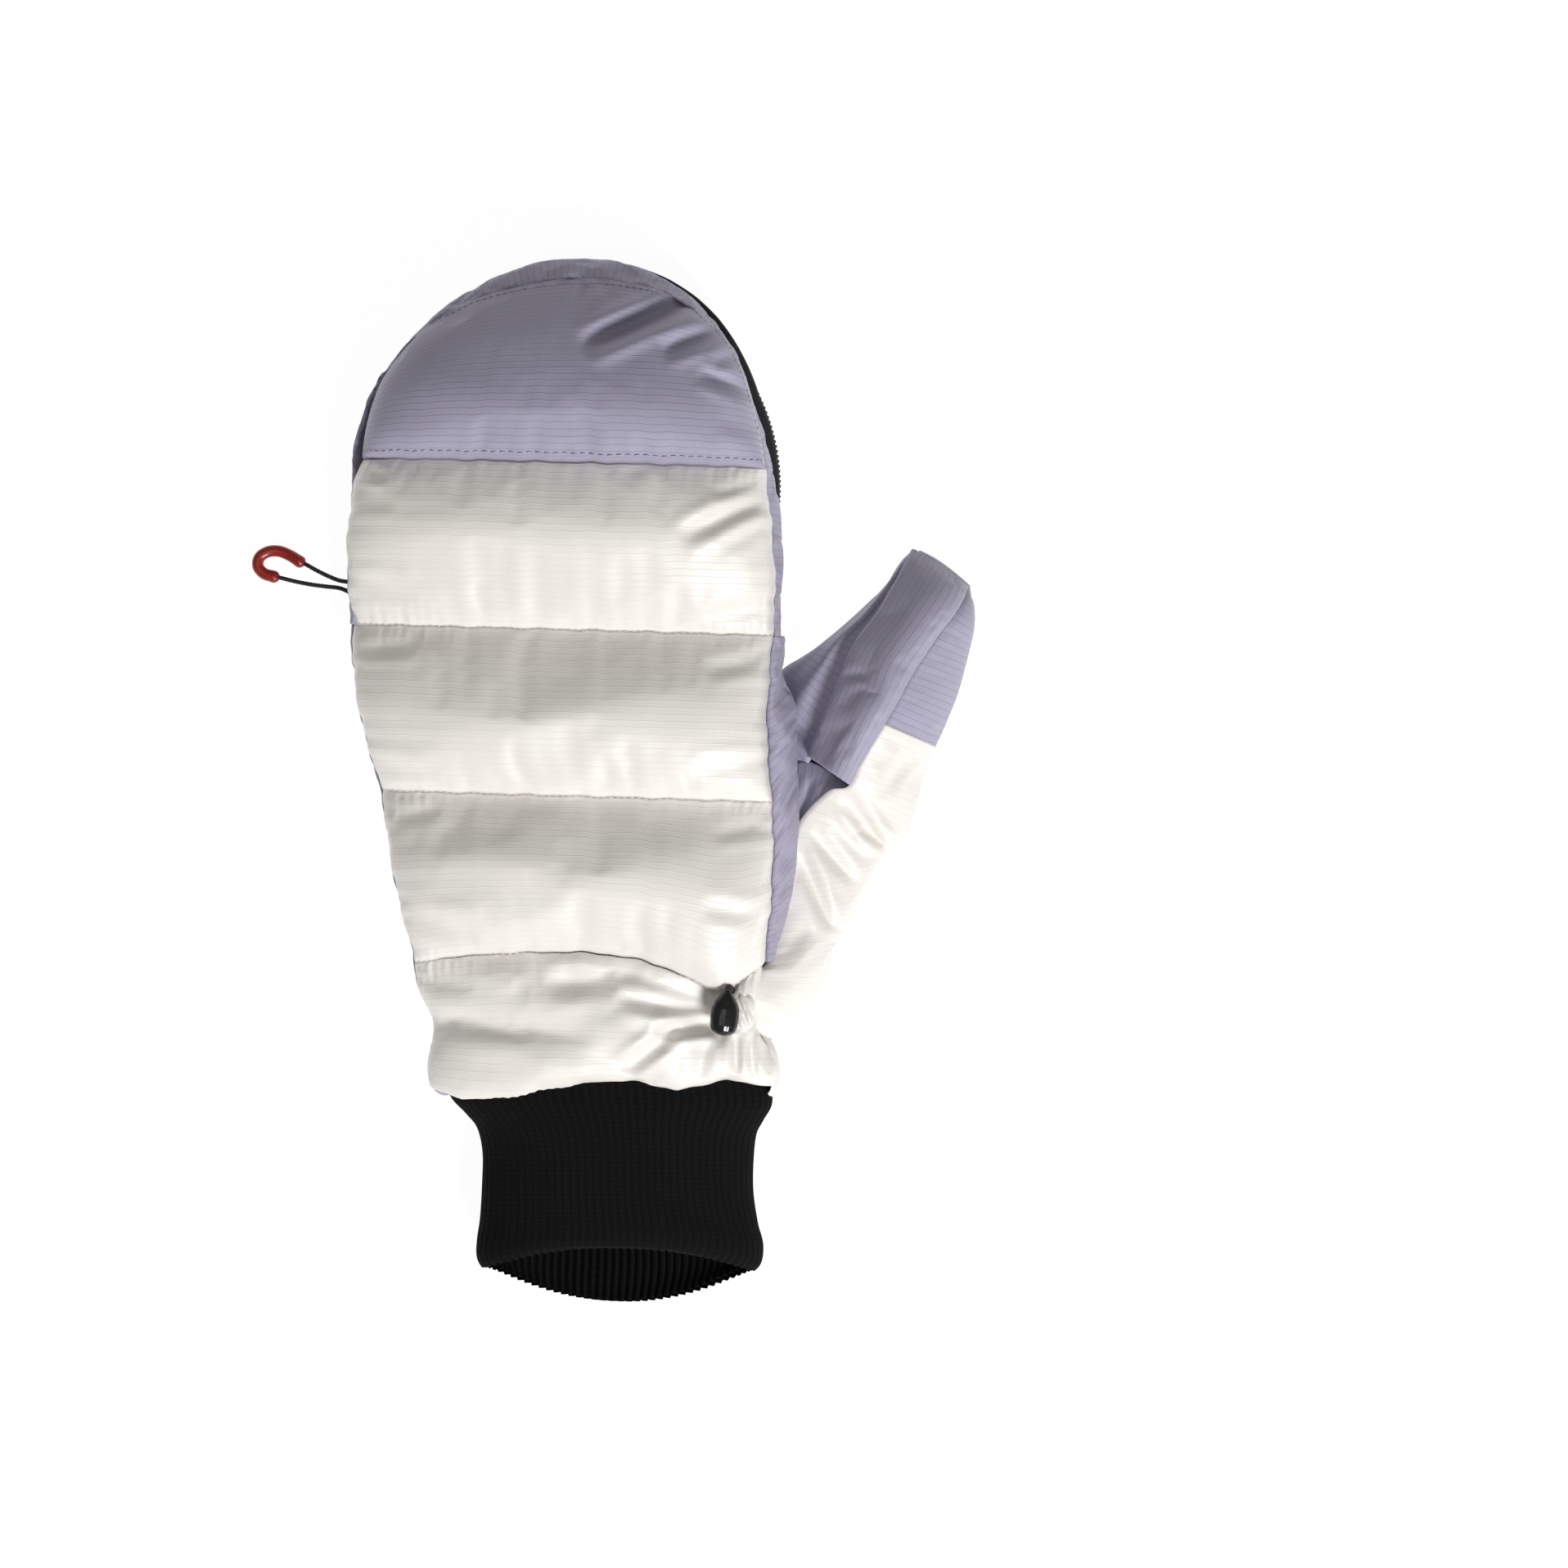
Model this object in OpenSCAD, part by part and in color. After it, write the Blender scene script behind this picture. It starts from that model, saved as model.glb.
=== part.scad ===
// Ski mitten for a left hand, lying palm down with its fingertips towards +Y and its thumb
// towards +X. The rounded tip is a hood that unzips and folds back over the knuckles.
// The origin is on the flat underside of the palm, below the hood's fold line.

/* [Body] */
// Radius of the hood's rounded tip
hood_r = 65; // [64.8:0.1:65.2]
// Distance from the fold line to the centre of the tip's circle
tip_y = 43.6; // [43:0.2:44]
// Height of the mitten's side walls
side_h = 36; // [35.8:0.1:37]
// Height of the sewn valleys between the quilted baffles
valley_h = 40; // [39.5:0.5:41]
// Rise of the two baffles beside the fold line
fold_puff = 14; // [8:1:15]
// Rise of the baffles nearer the wrist
wrist_puff = 17; // [8:1:20]
// Thickness of the outer shell fabric with its backing
shell_t = 1.2; // [0.8:0.1:1.4]

/* [Wrist and cuff] */
// Width of the rib-knit cuff lying flat
cuff_w = 80; // [76:1:84]
// Thickness of the rib-knit cuff lying flat
cuff_h = 40; // [34:1:40]
// Wall of the rib knit
cuff_wall = 3; // [2:0.25:4]
// Length from the fold line to the cuff's mouth on the palm side
cuff_end = 199.5; // [195:0.5:203]
// How much shorter the cuff is on its back
cuff_slant = 18; // [10:1:20]

/* [Thumb] */
// Radius of the thumb at its root
thumb_r = 21; // [20:0.5:21]
// Length of the thumb from the middle of its root
thumb_len = 118.5; // [117.5:0.5:120]
// Lean of the thumb away from the fingers
thumb_lean = 26.57; // [26:0.2:28]

/* [Zip] */
// Middle radius of the chain of teeth
chain_r = 63.2; // [63:0.1:63.3]
// Half the arc that each end of the slider covers, in degrees
slider_half = 4.5; // [3.5:0.5:4.5]
// Diameter of the pull's cord
pull_cord_d = 1.3; // [1.1:0.1:1.3]
// Diameter of the moulded grip
grip_d = 3.7; // [3.4:0.1:3.8]

/* [Cord lock] */
// Width of the lock's housing
lock_w = 8.5; // [8:0.5:9]
// Length of the lock's housing
lock_len = 9.5; // [9:0.5:10]
// Diameter of the drawcord
drawcord_d = 2; // [1.8:0.1:2]

/* [Hidden] */
$fn = 64;

lilac = [0.61, 0.59, 0.67];
pearl = [0.93, 0.91, 0.88];
black = [0.05, 0.05, 0.06];
fold_gap = 0.3;        // each side of the fold line is clear of it by this much
wrist_y = -120.5;      // where the body ends and the hem bands begin
hem_y = -143;          // where the hem bands end and the cuff begins
seam_tip = 50;         // seam between the tip panel and the hood's baffle
seam_mid = -49;        // quilting seams of the back, nearer and nearer the wrist
seam_wrist = -98;
palm_top = 10;         // top of the palm shell's wall, below the slider
ledge_z = 18;          // the gussets widen above the slider at this height
floor_z = 1.3;         // the insulation lies on the palm shell from here
liner_z = 7.2;
cavity_z = 8.3;
roof_z = 34;
thumb_low = -45;       // where the thumb's tube starts, inside the body
wide = 300;            // anything wider than the mitten

// Side lines run from the fold towards the wrist.
wide_left = [[-hood_r, tip_y], [-hood_r, 0], [-61.5, -26], [-54, -48], [-50, -70], [-44.5, -92],
  [-40.5, -107], [-34, -121], [-36, -136], [-32.5, hem_y]];
wide_right = [[hood_r, tip_y], [hood_r, 0], [68.8, -30], [69.5, -54], [66.6, -79], [63.5, -98],
  [63.5, -121], [66.7, -127], [66, hem_y]];
narrow_left = [[-52.2, 7.8], [-54, -20], [-51, -48], [-47.5, -70], [-42.5, -92], [-38.5, -107],
  [-32, -121], [-33, -136], [-30, hem_y]];
narrow_right = [[52.2, 7.8], [61, -10], [66, -30], [67, -54], [64.5, -79], [61.5, -98],
  [61.5, -121], [64, -127], [63, hem_y]];

function moved(points, dx) = [for (p = points) [p[0] + dx, p[1]]];
function backwards(points) = [for (i = [len(points) - 1:-1:0]) points[i]];

// Rise of a quilted baffle between two seams: a rounded roof whose slopes stay under the fold's wedge
function puff(y, a, b, rise, slope) =
  min(rise * pow(max(0, sin(180 * (y - a) / (b - a))), 0.6), slope * min(y - a, b - y));
function roof_line(a, b, rise, slope, drop) =
  [for (i = [0:16]) let (y = a + (b - a) * i / 16) [y, valley_h - drop + puff(y, a, b, rise, slope)]];

module outline_wide(inset = 0) {
  translate([0, tip_y]) circle(r = hood_r - inset, $fn = 96);
  polygon(concat(moved(wide_left, inset), backwards(moved(wide_right, -inset))));
}

module outline_narrow(inset = 0) {
  translate([0, tip_y]) circle(r = chain_r - 0.4 - inset, $fn = 96);
  polygon(concat(moved(narrow_left, inset), backwards(moved(narrow_right, -inset))));
}

module slab(z0, z1) {
  translate([0, 0, z0]) linear_extrude(z1 - z0) children();
}

module between_y(a, b) {
  intersection() {
    children();
    translate([-wide / 2, a, -1]) cube([wide, b - a, 90]);
  }
}

module side_of_x(positive) {
  intersection() {
    children();
    translate([positive ? 0.1 : -wide, -wide, -1]) cube([wide - 0.1, 2 * wide, 90]);
  }
}

// Prism along X whose section in Y and Z is the given list of points
module across(points) {
  translate([-wide / 2, 0, 0]) rotate([90, 0, 90]) linear_extrude(wide) polygon(points);
}

// Places the thumb: its own Z runs to the thumb's tip and its own X points away from the hand
module at_thumb() {
  translate([62, -84, thumb_r + 0.2]) rotate([0, 0, -thumb_lean]) rotate([-90, 0, 0]) children();
}

module outside_body() {
  difference() {
    children();
    slab(-1, 60) outline_wide(-0.3);
  }
}

// Hole through the side of the body into the thumb
module thumb_passage() {
  at_thumb() translate([0, 0, -50]) cylinder(h = 110, r = thumb_r - 8.3);
}

function thumb_section(inset) = [[0, thumb_low], [thumb_r - inset, thumb_low], [thumb_r - 0.5 - inset, 65],
  [15 - inset, 108 - inset * 0.4], [9.5 - inset * 0.8, thumb_len - 0.5 - inset], [0, thumb_len - inset]];

// One layer of the thumb, between two insets, over part of its girth and length
module thumb_layer(outer, inner, from_angle, sweep, low = thumb_low, high = 130) {
  outside_body() at_thumb() rotate([0, 0, from_angle]) rotate_extrude(angle = sweep)
    intersection() {
      difference() {
        polygon(thumb_section(outer));
        translate([0, -0.01]) polygon(thumb_section(inner));
      }
      translate([0, low]) square([40, high - low]);
    }
}

// Band that follows the zip's circle between two radii and two heights
module zip_band(r0, r1, z0, z1, from_angle, to_angle) {
  translate([0, tip_y, z0]) rotate([0, 0, from_angle]) rotate_extrude(angle = to_angle - from_angle, $fn = 180)
    translate([r0, 0]) square([r1 - r0, z1 - z0]);
}

module palm_shell() {
  color(lilac) between_y(wrist_y, 120) difference() {
    slab(0, palm_top) outline_narrow();
    slab(shell_t, palm_top + 1) outline_narrow(shell_t);
    thumb_passage();
  }
}

module palm_insulation() {
  color("white") between_y(wrist_y + 4, 120) slab(floor_z, liner_z - 0.1) outline_narrow(shell_t + 0.2);
}

module palm_liner() {
  color("dimgray") between_y(wrist_y + 4, 120) slab(liner_z, cavity_z - 0.1) outline_narrow(3);
}

// Side wall of the body: narrow beside the slider's path and wide above it
module side_gusset() {
  difference() {
    between_y(wrist_y, -fold_gap) union() {
      difference() {
        slab(palm_top, ledge_z + shell_t) outline_narrow();
        slab(palm_top - 1, ledge_z + 2) outline_narrow(shell_t);
      }
      difference() {
        slab(ledge_z, ledge_z + shell_t) outline_wide();
        slab(ledge_z - 1, ledge_z + 2) outline_narrow(shell_t);
      }
      difference() {
        slab(ledge_z, side_h) outline_wide();
        slab(ledge_z - 1, side_h + 1) outline_wide(shell_t);
      }
    }
    thumb_passage();
  }
}

module pinky_gusset() {
  color(lilac) side_of_x(false) side_gusset();
}

module thumb_side_gusset() {
  color(lilac) side_of_x(true) side_gusset();
}

module hand_liner() {
  color("dimgray") between_y(wrist_y, -fold_gap) difference() {
    slab(cavity_z, roof_z + 1.2) outline_narrow(3);
    slab(cavity_z - 1, roof_z) outline_narrow(4);
    thumb_passage();
  }
}

// Shell of the back over one stretch: its top follows the roof lines and its sides the wide outline
module quilted_shell(a, b, rise, slope) {
  difference() {
    intersection() {
      slab(side_h, 90) outline_wide();
      across(concat([[a, side_h]], roof_line(a, b, rise, slope, 0), [[b, side_h]]));
    }
    intersection() {
      slab(side_h - 1, 90) outline_wide(shell_t);
      across(concat([[a, side_h - 1]], roof_line(a, b, rise, slope, 0.8), [[b, side_h - 1]]));
    }
  }
}

module quilted_fill(a, b, rise, slope) {
  intersection() {
    slab(side_h - 0.6, 90) outline_wide(shell_t + 0.3);
    across(concat([[a + 0.4, side_h - 0.6]], roof_line(a + 0.4, b - 0.4, rise - 0.3, slope, 1.2),
      [[b - 0.4, side_h - 0.6]]));
  }
}

slope_fold = 0.62;     // the fold's two roofs meet at the joint's limit without touching
slope_back = 1.6;
lock_pocket_y = [-121, -103];
lock_x = 51.5;
lock_y = -112.4;
lock_z = 46.6;
pocket_z = 41.6;

module lock_pocket() {
  translate([33, lock_pocket_y[0], pocket_z]) cube([60, lock_pocket_y[1] - lock_pocket_y[0], 40]);
}

module tunnel_bore() {
  translate([-60, lock_y, lock_z]) rotate([0, 90, 0]) cylinder(h = 110, r = drawcord_d / 2 + 1.1);
}

module back_panel() {
  color(pearl) difference() {
    union() {
      quilted_shell(seam_mid, -fold_gap, fold_puff, slope_fold);
      quilted_shell(seam_wrist, seam_mid, wrist_puff, slope_back);
      quilted_shell(wrist_y, seam_wrist, 10, slope_back);
    }
    lock_pocket();
    tunnel_bore();
  }
}

module knuckle_fill() {
  color("white") quilted_fill(seam_mid, -fold_gap, fold_puff, slope_fold);
}

module mid_fill() {
  color("white") quilted_fill(seam_wrist, seam_mid, wrist_puff, slope_back);
}

module wrist_fill() {
  color("white") difference() {
    quilted_fill(wrist_y, seam_wrist, 10, slope_back);
    translate([0, 0, -1]) lock_pocket();
    tunnel_bore();
  }
}

// Hem: a short ring of shell fabric, its palm half lilac and its back half pearl
module hem_ring() {
  between_y(hem_y + 0.1, wrist_y - 0.4) difference() {
    slab(0, 45) outline_wide(0.5);
    slab(1.6, 43.4) outline_wide(2.2);
  }
}

module hem_band_back() {
  color(pearl) intersection() {
    hem_ring();
    translate([-wide / 2, -wide, 18.1]) cube([wide, wide, 60]);
  }
}

module hem_band_palm() {
  color(lilac) intersection() {
    hem_ring();
    translate([-wide / 2, -wide, -1]) cube([wide, wide, 19]);
  }
}

module wrist_elastic() {
  color("whitesmoke") for (i = [0:2]) {
    translate([-26, wrist_y + 0.2 + i * 1.2, floor_z]) cube([80, 0.8, 5]);
  }
}

module drawcord() {
  color(black) translate([-33, lock_y, lock_z]) rotate([0, 90, 0]) cylinder(h = 96, r = drawcord_d / 2);
}

module drawcord_tunnel() {
  color(pearl) translate([-31, lock_y, lock_z]) rotate([0, 90, 0]) difference() {
    cylinder(h = 63, r = drawcord_d / 2 + 0.9);
    translate([0, 0, -1]) cylinder(h = 66, r = drawcord_d / 2 + 0.15);
  }
}

module drawcord_anchor() {
  color(pearl) difference() {
    translate([60.5, lock_y - 5, pocket_z + 0.1]) cube([2.6, 10, lock_z - pocket_z + 3]);
    translate([50, lock_y, lock_z]) rotate([0, 90, 0]) cylinder(h = 30, r = drawcord_d / 2 + 0.1);
  }
}

// Flat oval with round ends, standing on the line below the cuff's middle
module cuff_oval(width, height) {
  translate([21.4, cuff_h / 2]) {
    square([width - height, height], center = true);
    for (s = [-1, 1]) {
      translate([s * (width - height) / 2, 0]) circle(d = height);
    }
  }
}

module cuff_prism(width, height, from_y, to_y) {
  translate([0, to_y, 0]) rotate([90, 0, 0]) linear_extrude(to_y - from_y) cuff_oval(width, height);
}

module rib_cuff() {
  color(black) difference() {
    union() {
      cuff_prism(cuff_w, cuff_h, -cuff_end, hem_y - 0.2);
      cuff_prism(cuff_w + 9, cuff_h, hem_y - 6, hem_y - 0.2);
    }
    cuff_prism(cuff_w - 2 * cuff_wall, cuff_h - 2 * cuff_wall, -cuff_end - 1, hem_y + 1);
    across([[-cuff_end, 0], [-cuff_end - 20, 0], [-cuff_end - 20, cuff_h + 10],
      [-cuff_end + cuff_slant, cuff_h + 10], [-cuff_end + cuff_slant, cuff_h]]);
  }
}

patch_at = 70;         // where the thumb's pearl back gives way to its lilac tip patch

module thumb_back_panel() {
  color(pearl) thumb_layer(0, shell_t, -60, 120, thumb_low, patch_at);
}

module thumb_tip_patch() {
  color(lilac) thumb_layer(0, shell_t, -60, 120, patch_at, 130);
}

module thumb_strips() {
  color(lilac) union() {
    thumb_layer(0, shell_t, 60, 35);
    thumb_layer(0, shell_t, -95, 35);
  }
}

module thumb_palm_panel() {
  color(lilac * 0.9) thumb_layer(0, shell_t, 95, 170);
}

module thumb_insulation() {
  color("white") thumb_layer(shell_t + 0.1, shell_t + 3.4, 0, 360);
}

module thumb_liner() {
  color("dimgray") thumb_layer(shell_t + 3.6, shell_t + 4.4, 0, 360);
}

chain_ends = [-28.5, 213];       // arc of the palm side's teeth
hood_ends = [-24, 203.5];        // the hood's teeth stop short of the parked slider
parked = 208.5;                  // where the slider rests

module zip_tape_palm() {
  color(black) zip_band(chain_r - 0.3, chain_r + 0.3, 6, 12, -33, 213.5);
}

module zip_teeth_palm() {
  color(black) zip_band(chain_r - 0.9, chain_r + 0.9, 12, 13.6, chain_ends[0], chain_ends[1]);
}

module zip_end_stops() {
  color("gray") {
    zip_band(chain_r - 0.9, chain_r + 0.9, 12, 14.6, -31, -29);
    zip_band(chain_r - 0.9, chain_r + 0.9, 12, 14.6, 213.4, 214.6);
  }
}

module fold_seam() {
  color("silver") translate([-60, 0, valley_h]) rotate([0, 90, 0]) cylinder(h = 120, r = 0.2, $fn = 16);
}

module hood_tip_panel() {
  color(lilac) difference() {
    intersection() {
      slab(side_h, 90) outline_wide();
      across(concat([[seam_tip, side_h]], tip_line(0), [[tip_y + hood_r + 1, side_h]]));
    }
    intersection() {
      slab(side_h - 1, 90) outline_wide(shell_t);
      across(concat([[seam_tip - 1, side_h - 1]], tip_line(0.8), [[tip_y + hood_r + 1, side_h - 1]]));
    }
  }
}

// Falls from the seam to the fingertips as a quarter of a flat arch
function tip_line(drop) = [for (i = [0:12]) let (y = seam_tip + (tip_y + hood_r + 1 - seam_tip) * i / 12,
  t = i / 12) [y, side_h + 2 - drop + 12 * sqrt(1 - t * t) + 4 * sin(180 * t)]];

module hood_tip_fill() {
  color("white") intersection() {
    slab(side_h - 0.6, 90) outline_wide(shell_t + 0.3);
    across(concat([[seam_tip + 0.4, side_h - 0.6]], [for (p = tip_line(1.6)) [p[0] + 0.4, p[1]]],
      [[tip_y + hood_r + 1.4, side_h - 0.6]]));
  }
}

// The hood's baffle leaves the fold in a shallow slope and meets the tip panel at full height
function hood_line(drop, a, b) = [for (i = [0:14]) let (y = a + (b - a) * i / 14)
  [y, valley_h - drop + min(slope_fold * (y - fold_gap), fold_puff * pow(sin(90 + 50 * (i / 14 - 0.4)), 0.6))]];

module hood_baffle() {
  color(pearl) difference() {
    intersection() {
      slab(side_h, 90) outline_wide();
      across(concat([[fold_gap, side_h]], hood_line(0, fold_gap, seam_tip - 0.02), [[seam_tip - 0.02, side_h]]));
    }
    intersection() {
      slab(side_h - 1, 90) outline_wide(shell_t);
      across(concat([[fold_gap + 1, side_h - 1]], hood_line(0.8, fold_gap + 1, seam_tip + 1), [[seam_tip + 1, side_h - 1]]));
    }
  }
}

module hood_baffle_fill() {
  color("white") intersection() {
    slab(side_h - 0.6, 90) outline_wide(shell_t + 0.3);
    across(concat([[fold_gap + 1.2, side_h - 0.6]], hood_line(1.3, fold_gap + 1.2, seam_tip - 0.4),
      [[seam_tip - 0.4, side_h - 0.6]]));
  }
}

module hood_gusset() {
  color(lilac) between_y(fold_gap, 120) difference() {
    slab(ledge_z, side_h) outline_wide();
    slab(ledge_z + shell_t, side_h + 1) outline_wide(shell_t);
    slab(ledge_z - 1, ledge_z + 2) hood_mouth(2.1);
  }
}

// Opening in the hood's underside, inside the zip
module hood_mouth(inset) {
  translate([0, tip_y]) circle(r = hood_r - inset, $fn = 96);
  translate([inset - hood_r, 0]) square([2 * (hood_r - inset), tip_y]);
}

module hood_liner() {
  color("dimgray") between_y(fold_gap, 120) difference() {
    slab(ledge_z, roof_z + 1.2) hood_mouth(5.5);
    slab(ledge_z - 1, roof_z) hood_mouth(6.5);
  }
}

module zip_tape_hood() {
  color(black) zip_band(chain_r - 0.3, chain_r + 0.3, 16, ledge_z, hood_ends[0], hood_ends[1]);
}

module zip_teeth_hood() {
  color(black) zip_band(chain_r - 0.9, chain_r + 0.9, 14.4, 16, hood_ends[0], hood_ends[1]);
}

bail_r = chain_r + 5.7;          // the pull's bar stands this far from the circle's centre
bail_bar_r = 1.65;
bail_xy = [bail_r * cos(parked), tip_y + bail_r * sin(parked)];

module slider_body() {
  a = parked - slider_half;
  b = parked + slider_half;
  color("#222222") union() {
    zip_band(chain_r + 1.2, chain_r + 2.4, 10.4, 17.6, a, b);
    zip_band(chain_r - 2.4, chain_r - 1.2, 10.4, 17.6, a, b);
    zip_band(chain_r - 1.3, chain_r + 1.3, 13.7, 14.3, parked - 1, parked + 1);
    for (z = [10.6, 15.8]) {
      zip_band(chain_r + 2.3, bail_r, z, z + 1.6, parked - 1.3, parked + 1.3);
    }
    translate([bail_xy[0], bail_xy[1], 10.6]) cylinder(h = 6.8, r = bail_bar_r, $fn = 32);
  }
}

// Middle line of the pull's cord: out from one end of the grip, round the bail's bar and back.
pull_route = [[-82.6, 19.7, 3.4], [-79.5, 18.2, 4.4], [-75.6, 16.2, 6.6], [-72, 14.6, 9], [-68.2, 13.3, 11.6],
  [-64.5, 13, 13.3], [-62, 13.1, 13.9], [-60.6, 13.2, 14], [-59.3, 12.9, 14], [-58.4, 12, 14], [-58, 10.7, 14],
  [-58.4, 9.5, 14], [-59.3, 8.6, 14], [-60.6, 8.2, 14], [-62, 8.7, 13.9], [-64.8, 9.7, 13.2], [-68.2, 11, 11.6],
  [-72.6, 11.5, 9.2], [-77.1, 12, 6.8], [-82.5, 12.9, 4.6], [-87, 13.9, 3.2], [-90.4, 14.7, 2.5]];

// Tube round a route: each ring is square to the line between its neighbours
module cord_tube(route, r, sides = 8) {
  n = len(route);
  rings = [for (i = [0:n - 1]) let (
      p = route[i],
      t0 = route[min(i + 1, n - 1)] - route[max(i - 1, 0)],
      t = t0 / norm(t0),
      s0 = cross(t, [0, 0, 1]),
      s = s0 / norm(s0),
      u = cross(s, t))
    [for (k = [0:sides - 1]) p + r * (cos(360 * k / sides) * s + sin(360 * k / sides) * u)]];
  points = [for (ring = rings) each ring];
  walls = [for (i = [0:n - 2]) each [for (k = [0:sides - 1]) each [
      [i * sides + k, i * sides + (k + 1) % sides, (i + 1) * sides + k],
      [i * sides + (k + 1) % sides, (i + 1) * sides + (k + 1) % sides, (i + 1) * sides + k]]]];
  caps = [[for (k = [sides - 1:-1:0]) k], [for (k = [0:sides - 1]) (n - 1) * sides + k]];
  polyhedron(points = points, faces = concat(walls, caps), convexity = 4);
}

module pull_cord() {
  color(black) cord_tube(pull_route, pull_cord_d / 2);
}

// Middle line of the grip: a U that swallows both ends of the cord
grip_route = [[-81.4, 19, 3.7], [-84.5, 20.8, 2.6], [-88, 22, 2.1], [-91.5, 21.6, 2], [-93.8, 19.8, 2],
  [-94.1, 17.2, 2], [-92.4, 15.2, 2.1], [-89.2, 14.2, 2.4]];

module pull_grip() {
  color([0.75, 0.16, 0.13]) cord_tube(grip_route, grip_d / 2, 12);
}

plunger_travel = 2.2;
lock_drop = 1.5;         // the housing's middle lies this much nearer the wrist than the cord

module lock_housing() {
  color(black) difference() {
    hull() {
      for (s = [-1, 1]) {
        translate([lock_x + s * (lock_w / 2 - 3), lock_y - lock_len / 2 - lock_drop, lock_z]) rotate([-90, 0, 0])
          cylinder(h = lock_len, r = 3, $fn = 32);
      }
    }
    translate([lock_x, lock_y - lock_len / 2 - 0.3, lock_z]) rotate([-90, 0, 0]) cylinder(h = 30, r = 2.1);
    translate([lock_x - 20, lock_y, lock_z]) rotate([0, 90, 0]) cylinder(h = 40, r = drawcord_d / 2 + 0.2);
  }
}

// Stem with a slot for the cord, under a domed button
module lock_plunger() {
  color(black) difference() {
    translate([lock_x, 0, lock_z]) rotate([-90, 0, 0]) {
      translate([0, 0, lock_y - 2.4]) cylinder(h = 8.2, r = 1.9);
      translate([0, 0, lock_y + lock_len / 2 - lock_drop + plunger_travel + 0.15]) cylinder(h = 2.4, r = 3);
    }
    translate([lock_x - 5, lock_y - drawcord_d / 2 - 0.3, lock_z - drawcord_d / 2 - 0.2])
      cube([10, drawcord_d + 0.5 + plunger_travel + 0.2, drawcord_d + 0.4]);
  }
}

// Three turns of wire between the housing's floor and the plunger
spring_route = [for (i = [0:36]) [1.4 * cos(i * 30), 1.4 * sin(i * 30), i * 0.047]];

module lock_spring() {
  color("silver") translate([lock_x, lock_y - 4.6, lock_z]) rotate([-90, 0, 0]) cord_tube(spring_route, 0.25, 6);
}

palm_shell();
palm_insulation();
palm_liner();
pinky_gusset();
thumb_side_gusset();
hand_liner();
back_panel();
knuckle_fill();
mid_fill();
wrist_fill();
hem_band_back();
hem_band_palm();
wrist_elastic();
drawcord();
drawcord_tunnel();
drawcord_anchor();
rib_cuff();
thumb_palm_panel();
thumb_strips();
thumb_back_panel();
thumb_tip_patch();
thumb_insulation();
thumb_liner();
zip_tape_palm();
zip_teeth_palm();
zip_end_stops();
fold_seam();
hood_tip_panel();
hood_baffle();
hood_gusset();
hood_tip_fill();
hood_baffle_fill();
hood_liner();
zip_tape_hood();
zip_teeth_hood();
slider_body();
pull_cord();
pull_grip();
lock_housing();
lock_plunger();
lock_spring();
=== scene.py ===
import math

import bmesh
import bpy
import numpy as np
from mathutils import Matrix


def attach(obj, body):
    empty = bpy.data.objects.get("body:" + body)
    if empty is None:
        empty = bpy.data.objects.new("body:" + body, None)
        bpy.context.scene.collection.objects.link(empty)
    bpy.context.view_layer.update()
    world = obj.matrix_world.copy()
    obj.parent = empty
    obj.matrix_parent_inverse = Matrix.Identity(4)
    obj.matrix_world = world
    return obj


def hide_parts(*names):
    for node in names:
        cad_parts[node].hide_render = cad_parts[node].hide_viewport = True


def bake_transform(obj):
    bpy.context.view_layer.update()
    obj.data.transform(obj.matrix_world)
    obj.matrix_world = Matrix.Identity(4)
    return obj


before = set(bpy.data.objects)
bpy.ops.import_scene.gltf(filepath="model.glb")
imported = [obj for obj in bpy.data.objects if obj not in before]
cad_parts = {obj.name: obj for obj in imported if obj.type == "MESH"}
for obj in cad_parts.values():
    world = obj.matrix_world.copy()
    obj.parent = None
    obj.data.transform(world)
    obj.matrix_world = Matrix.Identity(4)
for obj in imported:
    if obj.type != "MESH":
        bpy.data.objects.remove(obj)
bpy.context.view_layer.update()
mm = 0.001
print("frame loaded")

# Camera: straight above the mitten, turned a little about its own axis.
cameraPlan = {"lens": 150, "sensor": 36, "frameWidth": 0.4694, "centre": (0.0675, -0.0441), "sharpAt": 0.03,
              "turn": 1.70}


def placeCamera(plan):
    data = bpy.data.cameras.new("shotCamera")
    data.lens = plan["lens"]
    data.sensor_width = plan["sensor"]
    cam = bpy.data.objects.new("shotCamera", data)
    bpy.context.scene.collection.objects.link(cam)
    height = plan["frameWidth"] * plan["lens"] / plan["sensor"] + plan["sharpAt"]
    cam.location = (*plan["centre"], height)
    cam.rotation_euler = (0, 0, math.radians(plan["turn"]))
    bpy.context.scene.camera = cam


placeCamera(cameraPlan)


# Grids and curves, in millimetres until they become meshes.

def bent(w, power):
    # a power that keeps the sign
    return np.sign(w) * np.abs(w) ** power


def upBy(height):
    return np.array([0, 0, height])


def through(points, count):
    # smooth line through given points: cubic between neighbours, slopes from the gradient along it
    p = np.array(points, float)
    d = np.r_[0, np.cumsum(np.linalg.norm(np.diff(p, axis=0), axis=1))]
    slope = np.gradient(p, d, axis=0)
    t = np.linspace(0, d[-1], count)
    k = np.clip(np.searchsorted(d, t, side="right") - 1, 0, len(d) - 2)
    h = (d[k + 1] - d[k])[:, None]
    s = (t - d[k])[:, None] / h
    return ((2 * s**3 - 3 * s**2 + 1) * p[k] + (s**3 - 2 * s**2 + s) * h * slope[k]
            + (3 * s**2 - 2 * s**3) * p[k + 1] + (s**3 - s**2) * h * slope[k + 1])


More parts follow.
